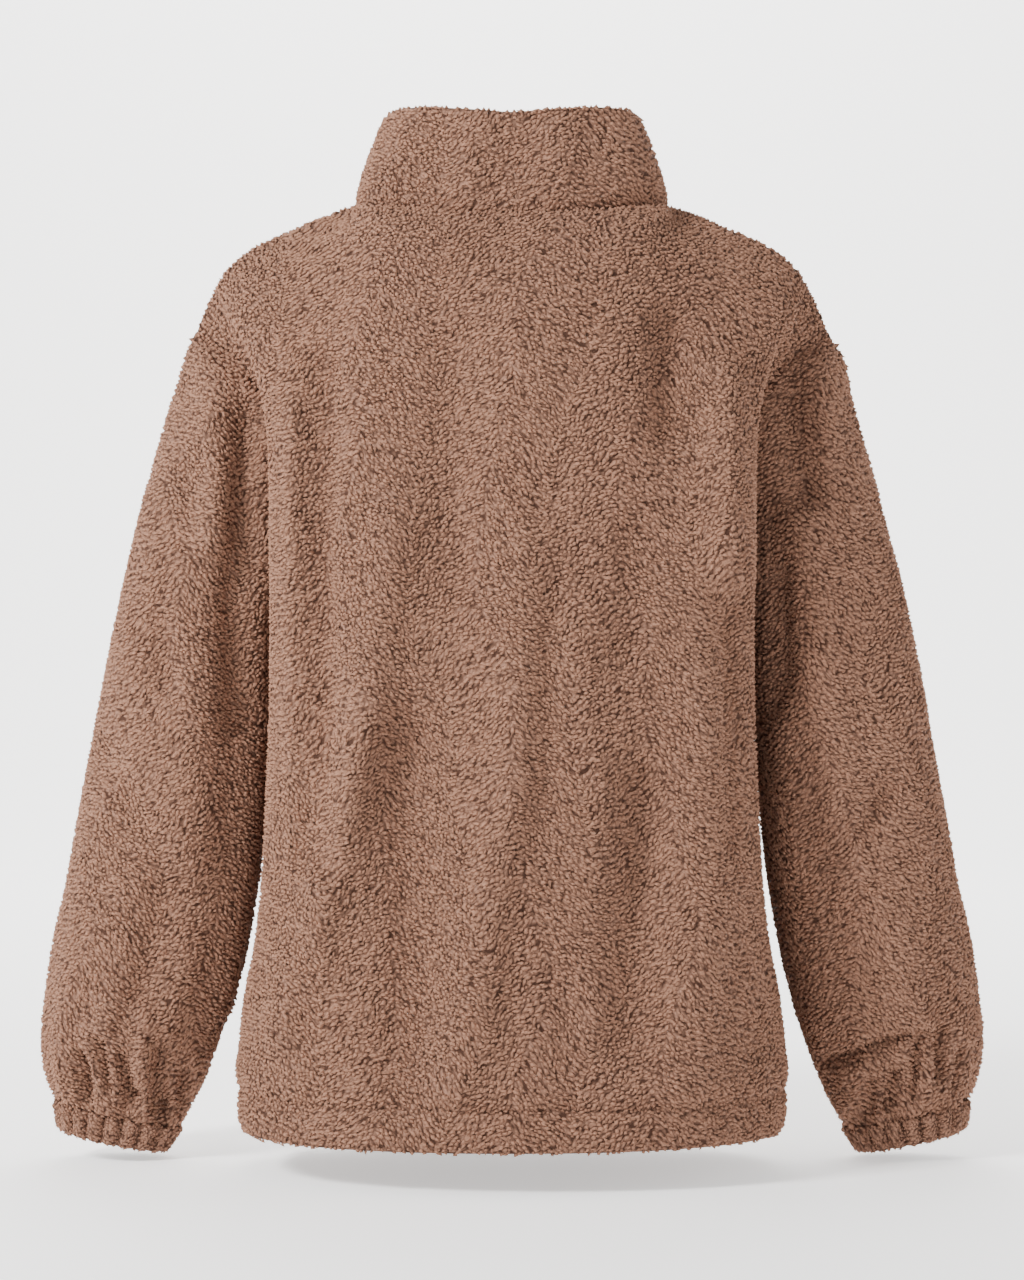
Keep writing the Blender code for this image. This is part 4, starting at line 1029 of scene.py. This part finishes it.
# The main creases as they hang: ends x and z, half width, and height (a trough is below zero)
backCreases = (
    (153, -150, 154, -300, 7, 2.0), (154, -300, 152, -450, 7, 1.6),
    (133, -115, 135, -290, 11, -3.6), (135, -290, 131, -445, 11, -3.0),
    (88, -226, 100, -340, 15, 3.0), (100, -340, 117, -405, 15, 4.2), (117, -405, 137, -487, 16, 4.6),
    (137, -487, 158, -560, 15, 3.4), (142, -470, 147, -560, 9, -1.6),
    (48, -105, 49, -190, 20, -2.6), (49, -190, 46, -262, 20, -3.0), (74, -370, 76, -480, 22, -4.2),
    (76, -480, 80, -590, 22, -4.0),
    (0, -240, 8, -390, 17, 2.6), (8, -390, 22, -455, 16, 3.0), (22, -455, 33, -538, 16, 2.8),
    (33, -538, 48, -590, 16, 2.0),
    (-98, -95, -99, -160, 17, -3.4), (-74, -240, -72, -300, 20, -2.6), (-84, -400, -70, -560, 20, -2.8),
    (-130, -128, -132, -255, 12, 3.4), (-112, -330, -122, -470, 16, 2.6), (-122, -470, -108, -590, 17, 2.2),
    (-134, -290, -136, -430, 10, -2.2), (-30, -300, -44, -440, 18, 2.0), (-24, -520, -30, -600, 16, -1.8),
)
frontCreases = (
    (112, -150, 122, -300, 14, -3.0), (96, -240, 104, -380, 16, 3.2), (104, -380, 124, -560, 16, 3.4),
    (60, -300, 66, -420, 18, -2.8), (66, -420, 58, -580, 18, -2.4), (40, -110, 46, -240, 18, 2.4),
    (30, -400, 34, -560, 15, 2.0), (132, -330, 138, -470, 12, -2.2),
)
sleeveCreasesLeft = (
    (215, -104, 208, -175, 12, 3.2), (208, -175, 209, -235, 12, 3.4), (190, -150, 198, -278, 10, -3.2),
    (198, -278, 195, -356, 11, -3.0), (249, -288, 243, -328, 12, -2.4), (289, -378, 268, -425, 12, -2.4),
    (250, -208, 270, -330, 16, 2.2), (222, -330, 232, -450, 18, 1.6), (243, -470, 262, -540, 14, -2.0),
    (178, -330, 186, -450, 13, 3.0), (186, -450, 206, -560, 14, 3.0), (174, -230, 178, -330, 9, 2.4),
    (305, -588, 303, -618, 5, -4.2), (293, -576, 288, -612, 5, -4.6), (276, -588, 272, -618, 5, -4.0),
    (250, -584, 252, -628, 6, -5.4), (234, -602, 236, -630, 5, -3.6), (262, -560, 263, -600, 9, 2.4),
    (284, -552, 298, -585, 8, 2.2),
)
sleeveCreasesRight = (
    (-200, -112, -206, -170, 11, 1.6), (-184, -134, -190, -200, 11, -3.2), (-188, -224, -205, -360, 14, 3.2),
    (-205, -360, -222, -462, 15, 2.8), (-172, -257, -174, -345, 9, -3.0), (-216, -446, -245, -408, 12, -2.6),
    (-252, -250, -266, -350, 14, 2.0), (-240, -480, -262, -548, 16, 2.0),
    (-180, -345, -188, -455, 13, 3.0), (-188, -455, -208, -560, 14, 3.0),
    (-207, -594, -232, -584, 5, -3.6), (-232, -584, -262, -573, 5, -4.2), (-272, -574, -267, -616, 6, -5.6),
    (-286, -572, -288, -604, 5, -4.4), (-303, -586, -300, -614, 5, -3.8), (-254, -600, -253, -624, 5, -3.8),
    (-238, -606, -238, -630, 5, -3.2), (-222, -604, -226, -622, 6, 2.0),
)
collarCreases = (
    (70, 4, 56, 46, 17, -1.1), (20, -2, 4, 36, 19, -1.3), (-36, 2, -50, 46, 16, -0.9),
    (42, 12, 34, 50, 15, 0.8), (-76, 8, -66, 46, 13, 0.9),
)

print("back")
whole = bothHalves(shape.back)
back = hungPanel(whole, whole + bothHalves(shape.backOffsets), bothHalves(shape.backNormals),
                 bothHalves(shape.backGap), backFolds, backCreases, seamRolls["back"])
made["back"] = cloth("back_cloth", *back, finishes)

print("fronts")
front = hungPanel(shape.front, shape.front + shape.frontOffsets, shape.frontNormals,
                  shape.frontGap, frontFolds, frontCreases, seamRolls["front"])
made["front_left"] = cloth("front_left_cloth", *front, finishes)
made["front_right"] = cloth("front_right_cloth", *[mirrored(part) for part in front], finishes)

print("sleeves")
outer = shape.rings.copy()
inner = outer + shape.ringOffsets
gather(outer, inner)
sleeve = refineCloth(outer + shape.ringGap, inner + shape.ringGap, pileWall, closed=True)
sleeveFine = {}
for side, shown, other in (("left", sleeveCreasesLeft, sleeveCreasesRight),
                           ("right", sleeveCreasesRight, sleeveCreasesLeft)):
    outer, inner = sleeve if side == "left" else [mirrored(part) for part in sleeve]
    middle = outer.mean(axis=1, keepdims=True)
    shown = foldsLike(shown, creaseLook["sleeve"])
    hidden = foldsLike(other, creaseLook["hidden"], -1)
    outer, inner = creased(outer, inner, shown, middle, closed=True, facing=1)
    outer, inner = creased(outer, inner, hidden, middle, closed=True, facing=-1)
    outer, inner = seamEdges(outer, inner, seamLook, seamRolls["sleeve"])
    made["sleeve_" + side] = cloth("sleeve_" + side + "_cloth", outer, inner, finishes, closed=True)
    sleeveFine[side] = outer

print("collar")
base, rise, normals = shape.neckBase, shape.neckTop - shape.neckBase, shape.collarNormals
outer, inner = [], []
for share in collarRowShares:
    outer.append(base + rise * share + normals * collarSwell * math.sin(math.pi * share))
    inner.append(outer[-1] - normals * collarWall)
inner[0] = base + shape.collarOffset + shape.collarGap
outer[0] = outer[0] + shape.collarGap
middle = (outer[-1] + inner[-1]) / 2
for degrees in collarTurn:
    lift = unit(rise) * collarWall / 2 * math.sin(math.radians(degrees))
    spreadOut = normals * collarWall / 2 * math.cos(math.radians(degrees))
    outer.append(middle + spreadOut + lift)
    inner.append(middle - spreadOut + lift)
collar = refineCloth(bothHalves(np.stack(outer)), bothHalves(np.stack(inner)), collarWall)
collar = creased(*collar, collarCreases, bodyInside, facing=1)
collar = seamEdges(*collar, seamLook, seamRolls["collar"])
made["collar"] = cloth("collar_cloth", *collar, finishes)

print("cuffs")
cuffLook = {
    "ribHeight": 5.4, "ribColumns": 8, "plumpness": 0.8, "crest": 0.85, "pileDepth": 0.6, "step": 1.5,
    "innerShare": 0.5,       # how much of the ribs shows on the inside
    "shortest": 0.45,        # share of the locks' length that is left in the furrows
}
columns = cuffRibs * cuffLook["ribColumns"]
top, bottom = named(sleeveColumns, [cuffTop]), named(sleeveColumns, [cuffBottom])
sleeveEnd = shape.rings[-1]
axis = unit(np.cross(sleeveEnd[0] - sleeveEnd.mean(axis=0), np.array([0, 1.0, 0])))
axis = -axis if axis[2] > 0 else axis
ends = []
for end in (top, bottom):
    edges = [np.array([end[x][0], end["middleY"][0], end[z][0]])
             for x, z in (("outerX", "outerZ"), ("innerX", "innerZ"))]
    ends.append(ellipseRing(*edges, end["depth"][0], columns) + axis * seamGap)
swell = np.abs(np.sin(math.pi * np.arange(columns) / cuffLook["ribColumns"])) ** cuffLook["plumpness"]
ribs = (swell - cuffLook["crest"]) * cuffLook["ribHeight"]
outer, inner = [], []
for share, relief in cuffRows:
    ring = ends[0] + (ends[1] - ends[0]) * share
    normals = inPlaneNormals(ring)
    outer.append(ring + normals * (ribs + relief)[:, None])
    inner.append(ring - normals * (cuffWall - ribs * cuffLook["innerShare"])[:, None])
outer, inner = np.stack(outer), np.stack(inner)
cuff = refineWall(sunk(outer, inner, cuffLook["pileDepth"], cuffWall), inner, cuffLook["step"], closed=True)
made["cuff_left"] = cloth("cuff_left_cloth", *cuff, finishes, closed=True)
made["cuff_right"] = cloth("cuff_right_cloth", *[mirrored(part) for part in cuff], finishes, closed=True)

print("pile")


def toTheLeft(points):
    return np.where(points[:, :1] < 0, [-1, 1, 1], [1, 1, 1])


def bodyMiddle(points):
    middle = points * 0
    middle[:, 2] = np.minimum(points[:, 2], neckMiddleZ)
    return middle


def sleeveMiddle(points):
    # the nearest place on the arm's middle line
    line = shape.rings.mean(axis=1)
    flip = toTheLeft(points)
    nearest = np.argmin(np.linalg.norm((points * flip)[:, None] - line[None], axis=2), axis=1)
    return line[nearest] * flip


def trimmed(points):
    # shorter locks along the hem's edge and stitching, and beside the zip
    look = hemLook
    z = points[:, 2]
    edge = look["edgeLength"] + (1 - look["edgeLength"]) * ease((z - hemZ) / look["edgeReach"])
    stitch = 1 - look["stitchShorter"] * np.exp(-((z - look["stitchZ"]) / look["stitchReach"]) ** 2)
    fromZip = (np.abs(points[:, 0]) - frontEdgeX) / look["zipReach"]
    besideZip = look["zipLength"] + (1 - look["zipLength"]) * ease(fromZip)
    return edge * stitch * np.where(points[:, 1] < 0, besideZip, 1)


def shortBetweenRibs(points):
    # locks grow short in the furrows between the ribs; both cuffs are alike, so the left one tells
    near = points * toTheLeft(points)
    flat = cuff[0].reshape(-1, 3)
    gaps = np.sum(near ** 2, axis=1)[:, None] - 2 * near @ flat.T + np.sum(flat ** 2, axis=1)
    width = cuff[0].shape[1]
    column = np.argmin(gaps, axis=1) % width * columns // width
    full = cuffLook["crest"] + ribs[column] / cuffLook["ribHeight"]
    return cuffLook["shortest"] + (1 - cuffLook["shortest"]) * full


neckMiddleZ = -40.0
bodyPile = dict(pileLook, inside=bodyMiddle)
armPile = dict(pileLook, inside=sleeveMiddle)
cuffPile = dict(armPile, spacing=1.95, length=3.8, width=2.8, height=0.8, row=2.4)
half = back[0].shape[1] // 2
# node, pile, cloth below it, look, whether it is a tube, and what shortens the locks; their order is the seed
pileRows = (
    ("back", "back_pile_left", back[0][:, :half + 1], bodyPile, False, trimmed),
    ("back", "back_pile_right", back[0][:, half:], bodyPile, False, trimmed),
    ("front_left", "front_left_pile", front[0], bodyPile, False, trimmed),
    ("front_right", "front_right_pile", mirrored(front[0]), bodyPile, False, trimmed),
    ("sleeve_left", "sleeve_left_pile", sleeveFine["left"], armPile, True, None),
    ("sleeve_right", "sleeve_right_pile", sleeveFine["right"], armPile, True, None),
    ("collar", "collar_pile", collar[0], bodyPile, False, None),
    ("cuff_left", "cuff_left_pile", cuff[0], cuffPile, True, shortBetweenRibs),
    ("cuff_right", "cuff_right_pile", mirrored(cuff[0]), cuffPile, True, shortBetweenRibs),
)
piles = {title: [] for title in made}
for seed, (title, name, surface, look, closed, trim) in enumerate(pileRows, 1):
    toward = 1 if closed else -1
    piles[title].append(pile(name, surface, look, curls, seed, toward, closed, trim))

# Each CAD part is hidden, its cloth and pile hang on the jacket, and half of the cloth's closed surface is
# printed
for title, piece in made.items():
    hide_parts(title)
    for part in [piece] + piles[title]:
        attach(part, "jacket")
    faces = piece.data.polygons
    size = sum(face.area for face in faces) / 2
    print("  ", title, "half of the closed surface", round(size, 4), "triangles", len(faces) * 2)

print("zip")
# A number 5 nylon coil, its turns wrapped over the tapes' edges: one is modelled, then copied down both sides
coilLook = {
    "pitch": 1.4, "halfLong": 0.62, "halfDeep": 1.15, "reach": 3.3, "overlap": 0.4, "sides": 8,
    "headLong": 0.25, "headSize": 0.55, "depth": pileWall + 0.9, "foot": 9.3, "top": 14.3,
    "thread": "#4d3a31", "tape": "#5d463b", "weave": 0.9, "metal": "#7d6a5c",
}


def coilTurn():
    # one turn of the coil, lying across the zip, with its head rounded over
    long = coilLook["reach"] + coilLook["overlap"]
    bpy.ops.mesh.primitive_cylinder_add(vertices=coilLook["sides"], radius=1, depth=long,
                                        rotation=(0, math.pi / 2, 0))
    turn = bpy.context.object
    bpy.ops.object.transform_apply(location=True, rotation=True, scale=True)
    bpy.ops.object.mode_set(mode="EDIT")
    bpy.ops.mesh.select_mode(type="FACE")
    bpy.ops.mesh.select_all(action="DESELECT")
    bpy.ops.object.mode_set(mode="OBJECT")
    head = min(turn.data.polygons, key=lambda face: face.center.x)
    head.select = True
    bpy.ops.object.mode_set(mode="EDIT")
    bpy.ops.mesh.extrude_region_move(TRANSFORM_OT_translate={"value": (-coilLook["headLong"], 0, 0)})
    bpy.ops.transform.resize(value=(1, coilLook["headSize"], coilLook["headSize"]))
    bpy.ops.object.mode_set(mode="OBJECT")
    points = np.array([tuple(vertex.co) for vertex in turn.data.vertices])
    faces = [list(face.vertices) for face in turn.data.polygons]
    bpy.data.objects.remove(turn, do_unlink=True)
    points[:, 0] += long / 2 - coilLook["overlap"]
    return points * np.array([1, coilLook["halfDeep"], coilLook["halfLong"]]), faces


def coil(name, finish):
    line, inward = shape.zipLine()
    lengths = np.concatenate([[0], np.cumsum(np.linalg.norm(np.diff(line, axis=0), axis=1))])
    start = lengths[1] + coilLook["foot"] + coilLook["halfLong"]
    end = lengths[-1] - coilLook["top"] - coilLook["halfLong"]
    places = np.arange(start, end, coilLook["pitch"] / 2)
    middle = curveThrough(lengths, line, places)
    depth = unit(curveThrough(lengths, inward, places))
    along = unit(np.gradient(middle, axis=0))
    turn, turnFaces = coilTurn()
    points, faces = [], []
    for count, (spot, into, way) in enumerate(zip(middle, depth, along)):
        side = 1 if count % 2 else -1
        axes = np.stack([np.array([side, 0, 0]), into, way])
        for face in turnFaces:
            faces.append([len(turn) * count + corner for corner in (face if side > 0 else face[::-1])])
        points.append(spot + into * coilLook["depth"] + turn @ axes)
    return facesOut(addMesh(name, np.vstack(points), faces, [finish]))


waveTurns = 3.18    # bands that a wave texture draws in one unit at scale 1


def wovenFinish(name, hue, thread, rough):
    # woven polyester: fine level ribs, drawn 0.9 mm apart so that they show
    finish, shader = newFinish(name, {"Roughness": rough, "Base Color": colour(hue)})
    place = node(finish, "ShaderNodeTexCoord").outputs["Object"]
    threads = node(finish, "ShaderNodeTexWave", {
        "bands_direction": "Z", "Scale": 1 / (thread * mm) / waveTurns, "Distortion": 0.4,
    }, {"Vector": place})
    bump = node(finish, "ShaderNodeBump", {"Strength": 0.5, "Distance": 0.3 * mm},
                {"Height": threads.outputs["Fac"]})
    finish.node_tree.links.new(bump.outputs["Normal"], shader.inputs["Normal"])
    return finish


tapeFinish = wovenFinish("woven_polyester_tape", coilLook["tape"], coilLook["weave"], 0.85)
# drawn nylon, smooth with a soft shine
coilFinish = newFinish("nylon_coil", {"Roughness": 0.42, "Base Color": colour(coilLook["thread"])})[0]
# die-cast zinc with satin brown plating
metalFinish = newFinish("plated_zinc", {
    "Metallic": 1.0, "Roughness": 0.34, "Base Color": colour(coilLook["metal"]),
})[0]
zipCoil = coil("zip_coil", coilFinish)
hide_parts("zip_chain")
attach(zipCoil, "jacket")
for title, finish in (("zip_tape_left", tapeFinish), ("zip_tape_right", tapeFinish), ("zip_box", metalFinish),
                      ("zip_slider", metalFinish), ("zip_pull", metalFinish)):
    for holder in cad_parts[title].material_slots:
        holder.material = finish

print("stage")
# A sheet that bends up behind the jacket, in metres
stageLook = {
    "floor": -0.664, "bendStart": -2.5, "bend": 0.9, "bendSteps": 14, "front": 4.0, "top": 4.5,
    "halfWide": 6.0, "hue": "#fbfaf9", "glow": 0.72, "world": 0.33,
}
# milky acrylic, lit from behind, so shadows on it stay pale
acrylic = newFinish("milky_acrylic", {
    "Roughness": 0.9, "Base Color": colour(stageLook["hue"]), "Emission Color": colour(stageLook["hue"]),
    "Emission Strength": stageLook["glow"],
})[0]
profile = [(stageLook["front"], stageLook["floor"]), (stageLook["bendStart"], stageLook["floor"])]
for turn in np.linspace(0.1, math.pi / 2, stageLook["bendSteps"]):
    profile.append((stageLook["bendStart"] - stageLook["bend"] * math.sin(turn),
                    stageLook["floor"] + stageLook["bend"] * (1 - math.cos(turn))))
profile.append((profile[-1][0], stageLook["top"]))
sides = (-stageLook["halfWide"], stageLook["halfWide"])
points = np.array([(x, y, z) for y, z in profile for x in sides]) / mm
faces = [[2 * k, 2 * k + 1, 2 * k + 3, 2 * k + 2] for k in range(len(profile) - 1)]
backdrop = addMesh("backdrop", points, faces, [acrylic])

print("light and camera")
atJacket, atWall = (0, 0, -0.3), (0, -4.2, 0.6)
# place and aim in metres, width in metres, watts
lights = (
    ("key", (1.8, 1.55, 1.1), atJacket, 0.6, 121),
    ("left_rim", (2.4, -0.2, 0.3), atJacket, 1.2, 20),
    ("right_rim", (-2.4, -0.1, 0.3), atJacket, 1.2, 24),
    ("front", (-0.8, 2.9, 0.1), atJacket, 1.5, 19),
    ("top", (0.3, 0.3, 2.4), atJacket, 3.0, 15),
    ("wash", (0.0, -1.9, 2.7), atWall, 2.4, 235),
)
for title, place, aim, size, power in lights:
    lamp = bpy.data.lights.new(title, "AREA")
    lamp.size, lamp.energy = size, power
    holder = bpy.data.objects.new(title, lamp)
    holder.location = place
    holder.rotation_euler = (Vector(aim) - Vector(place)).to_track_quat("-Z", "Y").to_euler()
    bpy.context.collection.objects.link(holder)
world = bpy.data.worlds.new("studio")
world.use_nodes = True
sky = world.node_tree.nodes["Background"]
sky.inputs["Color"].default_value = (1, 1, 1, 1)
sky.inputs["Strength"].default_value = stageLook["world"]
bpy.context.scene.world = world

cameraLook = {"distance": 2.2, "height": -0.3015, "lens": 59.78}
camera = bpy.data.objects.new("camera", bpy.data.cameras.new("camera"))
camera.data.sensor_fit = "VERTICAL"
camera.data.sensor_height = 24
camera.data.lens = cameraLook["lens"]
camera.location = (0, cameraLook["distance"], cameraLook["height"])
camera.rotation_euler = (math.pi / 2, 0, math.pi)
bpy.context.collection.objects.link(camera)
bpy.context.scene.camera = camera
